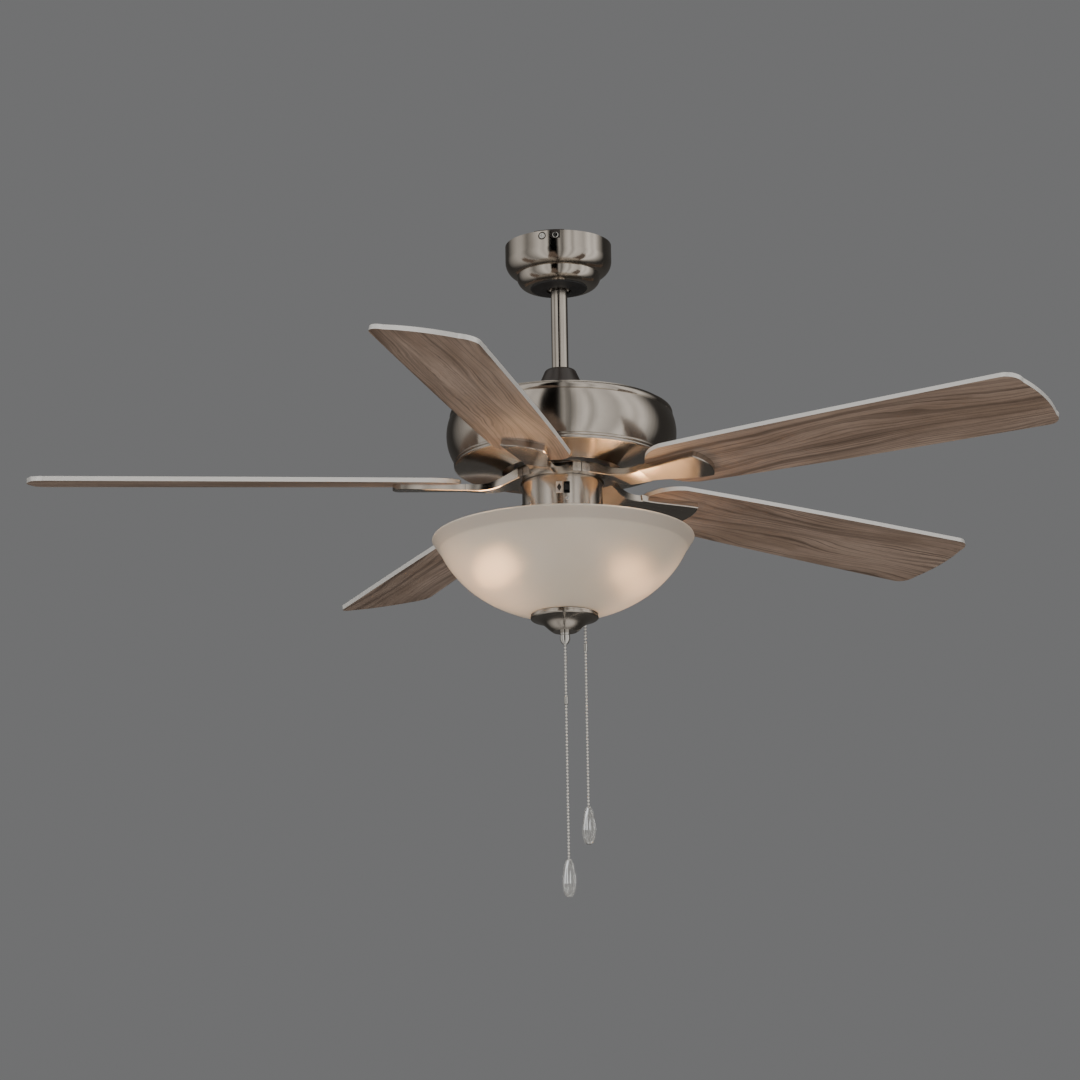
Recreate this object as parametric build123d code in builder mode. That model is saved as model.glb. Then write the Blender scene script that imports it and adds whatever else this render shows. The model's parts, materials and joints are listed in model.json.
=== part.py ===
from build123d import *
import math
import os

os.makedirs("parts", exist_ok=True)

# Ceiling fan with light kit, in millimetres.
# Frame: +Z up, origin on the ceiling plane at the centre of the hanger bracket, so that
# the whole fan hangs below z = 0.  The reverse switch faces -Y.

# ---------------------------------------------------------------- driving dimensions
CLEAR = 0.1                      # clearance around a screw, pin or rod in its hole

# hanger bracket and canopy
PLATE_T = 2.5
STRAP_L = 118.0
STRAP_W = 32.0
BOX_SLOT_PITCH = 88.9            # ceiling outlet box screws, 3 1/2 in apart
BOX_SLOT_L = 16.0
BOX_SLOT_W = 5.6
CANOPY_R = 67.0
CANOPY_WALL = 1.0
CANOPY_TOP_Z = -1.5
CANOPY_BOTTOM_Z = -57.0
TAB_ANGLE = -10.4                # bracket tabs are turned this far from the Y axis
TAB_OUTER_R = 65.4
TAB_T = 2.0
TAB_H = 20.0
CANOPY_SCREW_Z = -8.0
CANOPY_SCREW_STEP = 7.3          # each pair of canopy screws is this far either side of its tab

# hanger ball and downrod
BALL_Z = -33.0
BALL_R = 21.0
LINER_IN_R = 21.3
LINER_OUT_R = 23.5
SEAT_R = 23.8
SEAT_T = 2.5
ROD_R = 10.5
ROD_WALL = 1.8
ROD_TOP_Z = -21.0
ROD_BOTTOM_Z = -205.0
BALL_PIN_Z = -27.0
PIN_R = 3.0
CLEVIS_Z = -190.0

# coupling, shaft and motor
COUPLING_R = 15.5
COUPLING_FLANGE_T = 4.0
HOUSING_SCREW_CIRCLE_R = 26.0
VENT_CIRCLE_R = 62.0
VENTS = 12
COUPLING_TOP_Z = -177.0
HOUSING_TOP_Z = -217.5
FLANGE_R = 34.0
SHAFT_R = 8.5
SHAFT_BORE_R = 5.5
SHAFT_TOP_Z = -206.0
SHAFT_BOTTOM_Z = -322.0
SHEET_T = 1.1
RIM_R = 137.0
BARREL_R = 144.0
SEAM_R = 134.0
SEAM_Z = -287.0
PAN_OPEN_R = 75.0
PAN_OPEN_Z = -299.0
STATOR_R = 73.0
STATOR_TOP_Z = -258.0
STATOR_H = 16.0
STATOR_TEETH = 16
AIR_GAP = 0.6
CAGE_R = 86.0
BEARING_R = 20.0
BEARING_W = 12.0
UPPER_BEARING_Z = -247.0
LOWER_BEARING_Z = -297.0
HUB_TOP_Z = -300.0

# blades and blade arms
BLADE_COUNT = 5
BLADE_STEP = 360 / BLADE_COUNT
BLADE_AZIMUTH = 184.0            # the first blade points to -X, turned 4 degrees
BLADE_PITCH = 12.0               # the trailing long edge is the lower one
BLADE_MID_Z = -312.0
BLADE_T = 5.6
BLADE_ROOT_U = 127.0
BLADE_TIP_U = 665.0
ARM_T = 8.0
ARM_EDGE = 1.0                   # chamfer along the arm's lower edges
HUB_IN_R = 52.0
HUB_OUT_R = 64.0
HUB_H = 13.0
HUB_HALF_ANGLE = 35.5
HUB_SCREW_R = 57.5
HUB_SCREW_STEP = 18.0            # each arm's two hub screws are this far either side of it

# switch housing and light kit
SWITCH_R = 50.3
SWITCH_TOP_Z = -308.0
SWITCH_BOTTOM_Z = -384.0
REVERSE_ANGLE = -84.0
REVERSE_Z = -331.0
REVERSE_SCREW_PITCH = 28.6
KNOB_TRAVEL = 3.0
LOCK_SCREW_ANGLES = (-143.0, -23.0, 97.0)
LOCK_SCREW_Z = -346.0
LAMP_ANGLES = (15.0, 195.0)
LAMP_Z = -425.0
SOCKET_R = 11.0
SOCKET_IN = 27.5
SOCKET_OUT = 60.0
GLOBE_R = 23.0
GLOBE_U = 88.0
CENTER_ROD_R = 4.9
CENTER_ROD_BORE_R = 2.9
BOWL_RIM_R = 163.3
BOWL_RIM_Z = -382.4
BOWL_T = 4.0
BOWL_EQUATOR_Z = -352.0
BOWL_ELLIPSE_R = 164.1
BOWL_ELLIPSE_H = 133.0
FINIAL_R = 42.3
FINIAL_TOP_Z = -481.4
FINIAL_BOTTOM_Z = -503.3
KNOB_R = 6.25
KNOB_BOTTOM_Z = -518.8

# pull chains
CHAIN_R = 1.6
FAN_CHAIN_X = 25.4
FAN_CHAIN_Y = 22.0
LIGHT_CHAIN_END_Z = -788.5
FAN_CHAIN_END_Z = -720.0
PENDANT_H = 46.5
PENDANT_R = 8.5


def save(builder, name):
    """Label a finished piece and write its STEP file."""
    builder.part.label = name
    export_step(builder.part, f"parts/{name}.step")


def radial_plane(angle, radius, z):
    """Plane on a vertical cylinder about Z: its normal points outward, its Y axis up."""
    a = math.radians(angle)
    outward = (math.cos(a), math.sin(a), 0)
    tangent = (-math.sin(a), math.cos(a), 0)
    return Plane(
        origin=(radius * outward[0], radius * outward[1], z), x_dir=tangent, z_dir=outward
    )


def pan_screw(head_r, head_h, shank_r, shank_l):
    """Pan head screw along Z: the head's underside is at z = 0 and the shank goes down."""
    with BuildPart() as screw:
        with BuildSketch(Plane.XY):
            Circle(head_r)
        extrude(amount=head_h)
        fillet(screw.edges().filter_by(GeomType.CIRCLE).group_by(Axis.Z)[-1], head_h * 0.45)
        with BuildSketch(Plane.XY):
            Circle(shank_r)
        extrude(amount=-shank_l)
        chamfer(screw.edges().filter_by(GeomType.CIRCLE).group_by(Axis.Z)[0], shank_r * 0.3)
        with BuildSketch(Plane.XY.offset(head_h)):
            Rectangle(head_r * 1.15, head_r * 0.24)
            Rectangle(head_r * 0.24, head_r * 1.15)
        extrude(amount=-head_h * 0.5, mode=Mode.SUBTRACT)
    return screw.part


SCREW_R = 2.0                    # canopy, housing and hub screws
BLADE_SCREW_R = 2.2
SMALL_SCREW_R = 1.4              # switch housing screws

# ---------------------------------------------------------------- hanger bracket
SEAT_PLATE_Z = BALL_Z - 4
LEG_X = 29.0

with BuildPart() as hanger_bracket:
    with BuildSketch(Plane.XY.offset(-PLATE_T)):
        Rectangle(38, 2 * CANOPY_R, rotation=TAB_ANGLE)
        Circle(TAB_OUTER_R, mode=Mode.INTERSECT)
        RectangleRounded(STRAP_L, STRAP_W, 6)
        Circle(36)
        with GridLocations(BOX_SLOT_PITCH, 1, 2, 1):
            SlotOverall(BOX_SLOT_L, BOX_SLOT_W, mode=Mode.SUBTRACT)
        Circle(16, mode=Mode.SUBTRACT)
    extrude(amount=PLATE_T)
    with BuildSketch(Plane.XY):
        Circle(TAB_OUTER_R)
        Circle(TAB_OUTER_R - TAB_T, mode=Mode.SUBTRACT)
        Rectangle(38, 2 * CANOPY_R, rotation=TAB_ANGLE, mode=Mode.INTERSECT)
    extrude(amount=-TAB_H)
    # two legs carry the plate that the ball seat is pressed into
    with BuildSketch(Plane.XY.offset(SEAT_PLATE_Z)):
        with GridLocations(2 * LEG_X, 1, 2, 1):
            Rectangle(PLATE_T, 30)
    extrude(amount=-SEAT_PLATE_Z - PLATE_T / 2)
    with BuildSketch(Plane.XY.offset(SEAT_PLATE_Z)):
        RectangleRounded(2 * LEG_X + PLATE_T, 44, 5)
    extrude(amount=PLATE_T)
    with Locations((0, 0, BALL_Z)):
        Sphere(SEAT_R + SEAT_T, arc_size1=-46, arc_size2=-5, align=None)
        Sphere(SEAT_R, mode=Mode.SUBTRACT)
    # the ball and the rod go in through the open front of the seat
    with Locations((0, -30, BALL_Z - 12)):
        Box(25, 60, 26, mode=Mode.SUBTRACT)
    # a tab at the back runs in the ball's slot and stops it turning
    with Locations((0, 21, BALL_Z - 9)):
        Box(3, 5.6, 6)
    # threaded holes for the four canopy screws
    for side in (-90, 90):
        for step in (-CANOPY_SCREW_STEP, CANOPY_SCREW_STEP):
            with BuildSketch(radial_plane(side + TAB_ANGLE + step, TAB_OUTER_R + 1, CANOPY_SCREW_Z)):
                Circle(SCREW_R + CLEAR)
            extrude(amount=-6, mode=Mode.SUBTRACT)
save(hanger_bracket, "hanger_bracket")

# ---------------------------------------------------------------- canopy
SHOULDER_TOP_Z = -22.0
SHOULDER_ARC_R = 19.8
CREASE_R = 52.8
CREASE_Z = -41.0
BOTTOM_ARC_R = 15.5
LIP_R = 38.0
COVER_HOLE_R = 33.0


def canopy_outline(inset):
    """Half profile from the rim down to the bottom lip, moved inward by inset."""
    side = CANOPY_R - inset
    crease = (CREASE_R - inset, CREASE_Z + inset)
    with BuildLine() as outline:
        Line((side, CANOPY_TOP_Z), (side, SHOULDER_TOP_Z))
        RadiusArc((side, SHOULDER_TOP_Z), crease, SHOULDER_ARC_R - inset)
        RadiusArc(crease, (LIP_R, CANOPY_BOTTOM_Z + inset), BOTTOM_ARC_R)
    return outline.line


with BuildPart() as canopy:
    with BuildSketch(Plane.XZ):
        with BuildLine():
            add(canopy_outline(0))
            Line((LIP_R, CANOPY_BOTTOM_Z), (COVER_HOLE_R, CANOPY_BOTTOM_Z))
            Line((COVER_HOLE_R, CANOPY_BOTTOM_Z), (COVER_HOLE_R, CANOPY_BOTTOM_Z + CANOPY_WALL))
            Line((COVER_HOLE_R, CANOPY_BOTTOM_Z + CANOPY_WALL), (LIP_R, CANOPY_BOTTOM_Z + CANOPY_WALL))
            add(canopy_outline(CANOPY_WALL))
            Line((CANOPY_R - CANOPY_WALL, CANOPY_TOP_Z), (CANOPY_R, CANOPY_TOP_Z))
        make_face()
    revolve(axis=Axis.Z)
    # each pair of screws has one round hole and one slot open to the rim
    for side in (-90, 90):
        hole_plane = radial_plane(side + TAB_ANGLE - CANOPY_SCREW_STEP, CANOPY_R + 1, CANOPY_SCREW_Z)
        slot_plane = radial_plane(side + TAB_ANGLE + CANOPY_SCREW_STEP, CANOPY_R + 1, CANOPY_SCREW_Z)
        with BuildSketch(hole_plane):
            Circle(5.0)
        extrude(amount=-4, mode=Mode.SUBTRACT)
        with BuildSketch(slot_plane):
            with Locations((0, 4.5)):
                Rectangle(11.5, 17)
        extrude(amount=-4, mode=Mode.SUBTRACT)
save(canopy, "canopy")

CANOPY_SCREW = pan_screw(3.9, 2.4, SCREW_R, 5.5)
with BuildPart() as canopy_screws:
    for side in (-90, 90):
        for step in (-CANOPY_SCREW_STEP, CANOPY_SCREW_STEP):
            with Locations(radial_plane(side + TAB_ANGLE + step, TAB_OUTER_R, CANOPY_SCREW_Z)):
                add(CANOPY_SCREW)
save(canopy_screws, "canopy_screws")

COVER_R = 36.0
COVER_BORE_R = 15.6
with BuildPart() as canopy_cover:
    with BuildSketch(Plane.XZ):
        with BuildLine():
            Polyline(
                (COVER_BORE_R, CANOPY_BOTTOM_Z - 1.8),
                (COVER_BORE_R, CANOPY_BOTTOM_Z - 3.6),
                (COVER_BORE_R + 8, CANOPY_BOTTOM_Z - 3.2),
                (COVER_R - 1, CANOPY_BOTTOM_Z - 1.4),
                (COVER_R, CANOPY_BOTTOM_Z),
                (COVER_HOLE_R - CLEAR, CANOPY_BOTTOM_Z),
                (COVER_HOLE_R - CLEAR, CANOPY_BOTTOM_Z + 2.4),
                (COVER_HOLE_R - 1.4, CANOPY_BOTTOM_Z + 2.4),
                (COVER_HOLE_R - 1.4, CANOPY_BOTTOM_Z),
                (COVER_BORE_R + 8, CANOPY_BOTTOM_Z - 1.6),
                close=True,
            )
        make_face()
    revolve(axis=Axis.Z)
save(canopy_cover, "canopy_cover")

# ---------------------------------------------------------------- ball joint and downrod
with BuildPart() as ball_liner:
    with Locations((0, 0, BALL_Z)):
        Sphere(LINER_OUT_R, arc_size1=-44, arc_size2=-12, align=None)
        Sphere(LINER_IN_R, mode=Mode.SUBTRACT)
    with Locations((0, -30, BALL_Z - 10)):
        Box(25, 60, 30, mode=Mode.SUBTRACT)
    with Locations((0, 21, BALL_Z - 10)):
        Box(10, 14, 30, mode=Mode.SUBTRACT)
save(ball_liner, "ball_liner")

with BuildPart() as hanger_ball:
    with Locations((0, 0, BALL_Z)):
        Sphere(BALL_R, arc_size1=-50, arc_size2=35, align=None)
    with BuildSketch(Plane.XY):
        Circle(ROD_R + CLEAR)
    extrude(amount=2 * BALL_Z, mode=Mode.SUBTRACT)
    with Locations((0, BALL_R, BALL_Z)):
        Box(6, 9, 2 * BALL_R, mode=Mode.SUBTRACT)
    with BuildSketch(Plane.YZ.offset(-BALL_R)):
        with Locations((0, BALL_PIN_Z)):
            Circle(PIN_R + CLEAR)
    extrude(amount=2 * BALL_R, mode=Mode.SUBTRACT)
save(hanger_ball, "hanger_ball")

BALL_PIN_L = 34.0
with BuildPart() as ball_pin:
    with BuildSketch(Plane.YZ.offset(-BALL_PIN_L / 2)):
        with Locations((0, BALL_PIN_Z)):
            Circle(PIN_R)
    extrude(amount=BALL_PIN_L)
    chamfer(ball_pin.edges(), 0.5)
save(ball_pin, "ball_pin")

with BuildPart() as downrod:
    with BuildSketch(Plane.XY.offset(ROD_BOTTOM_Z)):
        Circle(ROD_R)
        Circle(ROD_R - ROD_WALL, mode=Mode.SUBTRACT)
    extrude(amount=ROD_TOP_Z - ROD_BOTTOM_Z)
    with BuildSketch(Plane.YZ.offset(-2 * ROD_R)):
        with Locations((0, BALL_PIN_Z), (0, CLEVIS_Z)):
            Circle(PIN_R + CLEAR)
    extrude(amount=4 * ROD_R, mode=Mode.SUBTRACT)
save(downrod, "downrod")

# four insulated leads run down the rod and the hollow motor shaft
LEAD_R = 0.8
LEAD_TOP_Z = ROD_TOP_Z + 11
LEAD_BOTTOM_Z = SHAFT_BOTTOM_Z - 12
with BuildPart() as wire_harness:
    with BuildSketch(Plane.XY.offset(LEAD_BOTTOM_Z)):
        with GridLocations(2.4, 8.2, 2, 2):
            Circle(LEAD_R)
    extrude(amount=LEAD_TOP_Z - LEAD_BOTTOM_Z)
save(wire_harness, "wire_harness")

with BuildPart() as coupling:
    with BuildSketch(Plane.XZ):
        with BuildLine():
            Polyline(
                (ROD_R + CLEAR, COUPLING_TOP_Z),
                (COUPLING_R, COUPLING_TOP_Z),
                (COUPLING_R, HOUSING_TOP_Z + 7),
                (COUPLING_R + 3, HOUSING_TOP_Z + COUPLING_FLANGE_T),
                (FLANGE_R, HOUSING_TOP_Z + COUPLING_FLANGE_T),
                (FLANGE_R, HOUSING_TOP_Z),
                (SHAFT_R + CLEAR, HOUSING_TOP_Z),
                (SHAFT_R + CLEAR, ROD_BOTTOM_Z - 0.3),
                (ROD_R + CLEAR, ROD_BOTTOM_Z - 0.3),
                close=True,
            )
        make_face()
    revolve(axis=Axis.Z)
    with BuildSketch(Plane.YZ.offset(-2 * COUPLING_R)):
        with Locations((0, CLEVIS_Z)):
            Circle(PIN_R + CLEAR)
    extrude(amount=4 * COUPLING_R, mode=Mode.SUBTRACT)
    with BuildSketch(Plane.XY.offset(HOUSING_TOP_Z + 10)):
        with PolarLocations(HOUSING_SCREW_CIRCLE_R, 4, 45):
            Circle(SCREW_R + CLEAR)
    extrude(amount=-12, mode=Mode.SUBTRACT)
save(coupling, "coupling")

CLEVIS_L = 44.0
COTTER_X = CLEVIS_L / 2 - 3.5
COTTER_R = 0.8
COTTER_EYE_R = 2.6
# the clevis pin and the cotter through its end
with BuildPart() as clevis_pin:
    with BuildSketch(Plane.YZ.offset(-CLEVIS_L / 2)):
        with Locations((0, CLEVIS_Z)):
            Circle(PIN_R)
    extrude(amount=CLEVIS_L)
    with BuildSketch(Plane.YZ.offset(-COUPLING_R - 3)):
        with Locations((0, CLEVIS_Z)):
            Circle(PIN_R + 1.6)
    extrude(amount=2)
    with BuildSketch(Plane.XY.offset(CLEVIS_Z - PIN_R - 1)):
        with Locations((COTTER_X, 0)):
            Circle(COTTER_R + CLEAR)
    extrude(amount=2 * PIN_R + 2, mode=Mode.SUBTRACT)
    with BuildSketch(Plane.XY.offset(CLEVIS_Z - 9)):
        with Locations((COTTER_X, 0)):
            Circle(COTTER_R)
    extrude(amount=15)
    with Locations((COTTER_X, 0, CLEVIS_Z + 6 + COTTER_EYE_R)):
        Torus(COTTER_EYE_R, COTTER_R, rotation=(0, 90, 0))
save(clevis_pin, "clevis_pin")

YOKE_HOLE_R = ROD_R + 0.4
YOKE_TOP_Z = -165.0
YOKE_TOP_R = 15.0                # flat top
YOKE_SHOULDER = (20.4, -169.2)
YOKE_FOOT = (42.0, HOUSING_TOP_Z + 0.2)
YOKE_WALL = 1.6
YOKE_SIDE_WALL = 1.8             # the sloping wall, measured level
with BuildPart() as yoke_cover:
    with BuildSketch(Plane.XZ):
        with BuildLine():
            Line((YOKE_HOLE_R, YOKE_TOP_Z), (YOKE_TOP_R, YOKE_TOP_Z))
            ThreePointArc((YOKE_TOP_R, YOKE_TOP_Z), (YOKE_SHOULDER[0] - 1.9, YOKE_TOP_Z - 1.2), YOKE_SHOULDER)
            Line(YOKE_SHOULDER, YOKE_FOOT)
            Polyline(
                YOKE_FOOT,
                (YOKE_FOOT[0] - YOKE_SIDE_WALL, YOKE_FOOT[1]),
                (YOKE_SHOULDER[0] - YOKE_SIDE_WALL, YOKE_SHOULDER[1]),
                (YOKE_TOP_R + 0.8, YOKE_TOP_Z - YOKE_WALL),
                (YOKE_HOLE_R, YOKE_TOP_Z - YOKE_WALL),
                (YOKE_HOLE_R, YOKE_TOP_Z),
            )
        make_face()
    revolve(axis=Axis.Z)
save(yoke_cover, "yoke_cover")

# ---------------------------------------------------------------- motor housing
BEAD_TOP_Z = HOUSING_TOP_Z - 4
BEAD_BOTTOM_Z = BEAD_TOP_Z - 7
BELLY_TOP_Z = BEAD_BOTTOM_Z - 1.5
BELLY_Z = BELLY_TOP_Z - 17
with BuildPart() as motor_housing:
    with BuildSketch(Plane.XZ):
        with BuildLine():
            Line((SHAFT_R + CLEAR, HOUSING_TOP_Z), (RIM_R - 5, HOUSING_TOP_Z))
            RadiusArc((RIM_R - 5, HOUSING_TOP_Z), (RIM_R + 1.5, BEAD_TOP_Z), -6)
            ThreePointArc((RIM_R + 1.5, BEAD_TOP_Z), (RIM_R + 2.8, BEAD_TOP_Z - 3.5), (RIM_R + 1.5, BEAD_BOTTOM_Z))
            Line((RIM_R + 1.5, BEAD_BOTTOM_Z), (RIM_R + 3.6, BELLY_TOP_Z))
            ThreePointArc((RIM_R + 3.6, BELLY_TOP_Z), (BARREL_R, BELLY_Z), (SEAM_R, SEAM_Z + 3.4))
            ThreePointArc((SEAM_R, SEAM_Z + 3.4), (SEAM_R + 1.4, SEAM_Z + 1.7), (SEAM_R, SEAM_Z))
            Line((SEAM_R, SEAM_Z), (SEAM_R - SHEET_T, SEAM_Z))
            Line((SEAM_R - SHEET_T, SEAM_Z), (SEAM_R - SHEET_T, SEAM_Z + 3.4))
            ThreePointArc((SEAM_R - SHEET_T, SEAM_Z + 3.4), (BARREL_R - SHEET_T, BELLY_Z),
                          (RIM_R + 2.5, BELLY_TOP_Z - 0.4))
            Line((RIM_R + 2.5, BELLY_TOP_Z - 0.4), (RIM_R - 0.2, BEAD_BOTTOM_Z))
            Line((RIM_R - 0.2, BEAD_BOTTOM_Z), (RIM_R - 0.2, BEAD_TOP_Z - 0.3))
            RadiusArc((RIM_R - 0.2, BEAD_TOP_Z - 0.3), (RIM_R - 5, HOUSING_TOP_Z - SHEET_T), 5)
            Line((RIM_R - 5, HOUSING_TOP_Z - SHEET_T), (SHAFT_R + CLEAR, HOUSING_TOP_Z - SHEET_T))
            Line((SHAFT_R + CLEAR, HOUSING_TOP_Z - SHEET_T), (SHAFT_R + CLEAR, HOUSING_TOP_Z))
        make_face()
    revolve(axis=Axis.Z)
    with BuildSketch(Plane.XY.offset(HOUSING_TOP_Z + 1)):
        with PolarLocations(HOUSING_SCREW_CIRCLE_R, 4, 45):
            Circle(SCREW_R + CLEAR)
        with PolarLocations(VENT_CIRCLE_R, VENTS):
            SlotOverall(26, 5)
    extrude(amount=-4, mode=Mode.SUBTRACT)
save(motor_housing, "motor_housing")

with BuildPart() as housing_pan:
    with BuildSketch(Plane.XZ):
        with BuildLine():
            Line((SEAM_R, SEAM_Z - 0.1), (SEAM_R - 3, SEAM_Z - 0.1))
            Line((SEAM_R - 3, SEAM_Z - 0.1), (SEAM_R - 3, SEAM_Z - 3.2))
            Line((SEAM_R - 3, SEAM_Z - 3.2), (PAN_OPEN_R + 1, PAN_OPEN_Z + SHEET_T + 0.2))
            Line((PAN_OPEN_R + 1, PAN_OPEN_Z + SHEET_T + 0.2), (PAN_OPEN_R, PAN_OPEN_Z + 3.0))
            Line((PAN_OPEN_R, PAN_OPEN_Z + 3.0), (PAN_OPEN_R - SHEET_T, PAN_OPEN_Z + 2.6))
            Line((PAN_OPEN_R - SHEET_T, PAN_OPEN_Z + 2.6), (PAN_OPEN_R, PAN_OPEN_Z))
            Line((PAN_OPEN_R, PAN_OPEN_Z), (SEAM_R - 1.5, SEAM_Z - 4.6))
            ThreePointArc((SEAM_R - 1.5, SEAM_Z - 4.6), (SEAM_R + 1.0, SEAM_Z - 2.2),
                          (SEAM_R, SEAM_Z - 0.1))
        make_face()
    revolve(axis=Axis.Z)
save(housing_pan, "housing_pan")

HOUSING_SCREW = pan_screw(3.6, 2.2, SCREW_R, 8.0)
with BuildPart() as housing_screws:
    with Locations((0, 0, HOUSING_TOP_Z + COUPLING_FLANGE_T)):
        with PolarLocations(HOUSING_SCREW_CIRCLE_R, 4, 45):
            add(HOUSING_SCREW)
save(housing_screws, "housing_screws")

# ---------------------------------------------------------------- motor, fixed half
with BuildPart() as motor_shaft:
    with BuildSketch(Plane.XY.offset(SHAFT_BOTTOM_Z)):
        Circle(SHAFT_R)
        Circle(SHAFT_BORE_R, mode=Mode.SUBTRACT)
    extrude(amount=SHAFT_TOP_Z - SHAFT_BOTTOM_Z)
    chamfer(motor_shaft.edges().filter_by(GeomType.CIRCLE).group_by(Axis.Z)[0], 0.6)
save(motor_shaft, "motor_shaft")

SLOT_MID_R = 55.0
SLOT_DEPTH = 30.0
SLOT_W = 8.0
with BuildPart() as stator_core:
    with BuildSketch(Plane.XY.offset(STATOR_TOP_Z - STATOR_H)):
        Circle(STATOR_R)
        Circle(SHAFT_R + CLEAR, mode=Mode.SUBTRACT)
        with PolarLocations(SLOT_MID_R, STATOR_TEETH):
            Rectangle(SLOT_DEPTH, SLOT_W, mode=Mode.SUBTRACT)
        with PolarLocations(STATOR_R, STATOR_TEETH):
            Rectangle(10, 2.4, mode=Mode.SUBTRACT)
    extrude(amount=STATOR_H)
save(stator_core, "stator_core")

END_TURN_H = 6.0
with BuildPart() as stator_windings:
    for level in (STATOR_TOP_Z + 0.2, STATOR_TOP_Z - STATOR_H - END_TURN_H - 0.2):
        with BuildSketch(Plane.XY.offset(level)):
            Circle(SLOT_MID_R + SLOT_DEPTH / 2 - 1)
            Circle(SLOT_MID_R - SLOT_DEPTH / 2 + 1, mode=Mode.SUBTRACT)
        extrude(amount=END_TURN_H)
    fillet(stator_windings.edges(), 1.8)
    with BuildSketch(Plane.XY.offset(STATOR_TOP_Z - STATOR_H - 2)):
        with PolarLocations(SLOT_MID_R, STATOR_TEETH):
            Rectangle(SLOT_DEPTH - 6, SLOT_W - 1)
    extrude(amount=STATOR_H + 4)
save(stator_windings, "stator_windings")

# ---------------------------------------------------------------- motor, turning half
CAGE_IN_R = STATOR_R + AIR_GAP
CAGE_TOP_Z = STATOR_TOP_Z + 2
CAGE_BOTTOM_Z = STATOR_TOP_Z - STATOR_H - 2
COVER_RIM_R = CAGE_R + 2
BEARING_LIP_R = 12.0
WEB_T = 3.0

with BuildPart() as rotor_cage:
    with BuildSketch(Plane.XY.offset(CAGE_BOTTOM_Z)):
        Circle(CAGE_R)
        Circle(CAGE_IN_R, mode=Mode.SUBTRACT)
    extrude(amount=CAGE_TOP_Z - CAGE_BOTTOM_Z)
save(rotor_cage, "rotor_cage")

with BuildPart() as rotor_upper_cover:
    with BuildSketch(Plane.XZ):
        with BuildLine():
            Polyline(
                (BEARING_LIP_R, UPPER_BEARING_Z - 2),
                (BEARING_LIP_R, UPPER_BEARING_Z),
                (BEARING_R + CLEAR, UPPER_BEARING_Z),
                (BEARING_R + CLEAR, UPPER_BEARING_Z + BEARING_W),
                (BEARING_R + 6, UPPER_BEARING_Z + BEARING_W),
                (BEARING_R + 7, UPPER_BEARING_Z - 2 + WEB_T),
                (COVER_RIM_R, UPPER_BEARING_Z - 2 + WEB_T),
                (COVER_RIM_R, CAGE_TOP_Z - 2),
                (CAGE_R + CLEAR, CAGE_TOP_Z - 2),
                (CAGE_R + CLEAR, CAGE_TOP_Z),
                (CAGE_IN_R + 1, CAGE_TOP_Z),
                (CAGE_IN_R + 1, UPPER_BEARING_Z - 2),
                close=True,
            )
        make_face()
    revolve(axis=Axis.Z)
save(rotor_upper_cover, "rotor_upper_cover")

HUB_FLANGE_R = 61.5
HUB_FLANGE_T = 6.0
LOWER_WEB_Z = -286.0
with BuildPart() as rotor_lower_cover:
    with BuildSketch(Plane.XZ):
        with BuildLine():
            Polyline(
                (BEARING_LIP_R, LOWER_WEB_Z + WEB_T),
                (CAGE_IN_R + 1, LOWER_WEB_Z + WEB_T),
                (CAGE_IN_R + 1, CAGE_BOTTOM_Z),
                (CAGE_R + CLEAR, CAGE_BOTTOM_Z),
                (CAGE_R + CLEAR, CAGE_BOTTOM_Z + 2),
                (COVER_RIM_R, CAGE_BOTTOM_Z + 2),
                (COVER_RIM_R, LOWER_WEB_Z),
                (BEARING_R + 8, LOWER_WEB_Z),
                (BEARING_R + 8, HUB_TOP_Z + HUB_FLANGE_T),
                (HUB_FLANGE_R, HUB_TOP_Z + HUB_FLANGE_T),
                (HUB_FLANGE_R, HUB_TOP_Z),
                (BEARING_R + CLEAR, HUB_TOP_Z),
                (BEARING_R + CLEAR, LOWER_BEARING_Z + BEARING_W),
                (BEARING_LIP_R, LOWER_BEARING_Z + BEARING_W),
                close=True,
            )
        make_face()
    revolve(axis=Axis.Z)
    with BuildSketch(Plane.XY.offset(HUB_TOP_Z - 1)):
        for index in range(BLADE_COUNT):
            with PolarLocations(HUB_SCREW_R, 2, BLADE_AZIMUTH + BLADE_STEP * index - HUB_SCREW_STEP,
                                2 * HUB_SCREW_STEP, endpoint=True):
                Circle(SCREW_R + CLEAR)
    extrude(amount=HUB_FLANGE_T + 2, mode=Mode.SUBTRACT)
save(rotor_lower_cover, "rotor_lower_cover")

with BuildPart() as bearings:
    for level in (UPPER_BEARING_Z, LOWER_BEARING_Z):
        with BuildSketch(Plane.XY.offset(level)):
            Circle(BEARING_R)
            Circle(SHAFT_R + CLEAR, mode=Mode.SUBTRACT)
        extrude(amount=BEARING_W)
        for face_z, direction in ((level, 1), (level + BEARING_W, -1)):
            with BuildSketch(Plane.XY.offset(face_z)):
                Circle(BEARING_R - 3)
                Circle(SHAFT_R + 3, mode=Mode.SUBTRACT)
            extrude(amount=direction * 1.0, mode=Mode.SUBTRACT)
save(bearings, "bearings")

# ---------------------------------------------------------------- blades and blade arms
# Both are drawn along +X (u outward, v towards the trailing side) and then turned about Z.
PITCH = math.radians(BLADE_PITCH)
BLADE_PLANE = Plane(
    origin=(0, 0, BLADE_MID_Z),
    x_dir=(1, 0, 0),
    z_dir=(0, math.sin(PITCH), math.cos(PITCH)),
)
BLADE_SCREWS = ((141.0, 3.0), (190.0, -15.0), (190.0, 18.0))
LEADING_EDGE = ((168.0, -47.5), (340.0, -55.5), (500.0, -60.5), (640.0, -64.0))
TRAILING_EDGE = ((168.0, 52.5), (340.0, 60.5), (500.0, 64.5), (640.0, 67.0))

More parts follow.
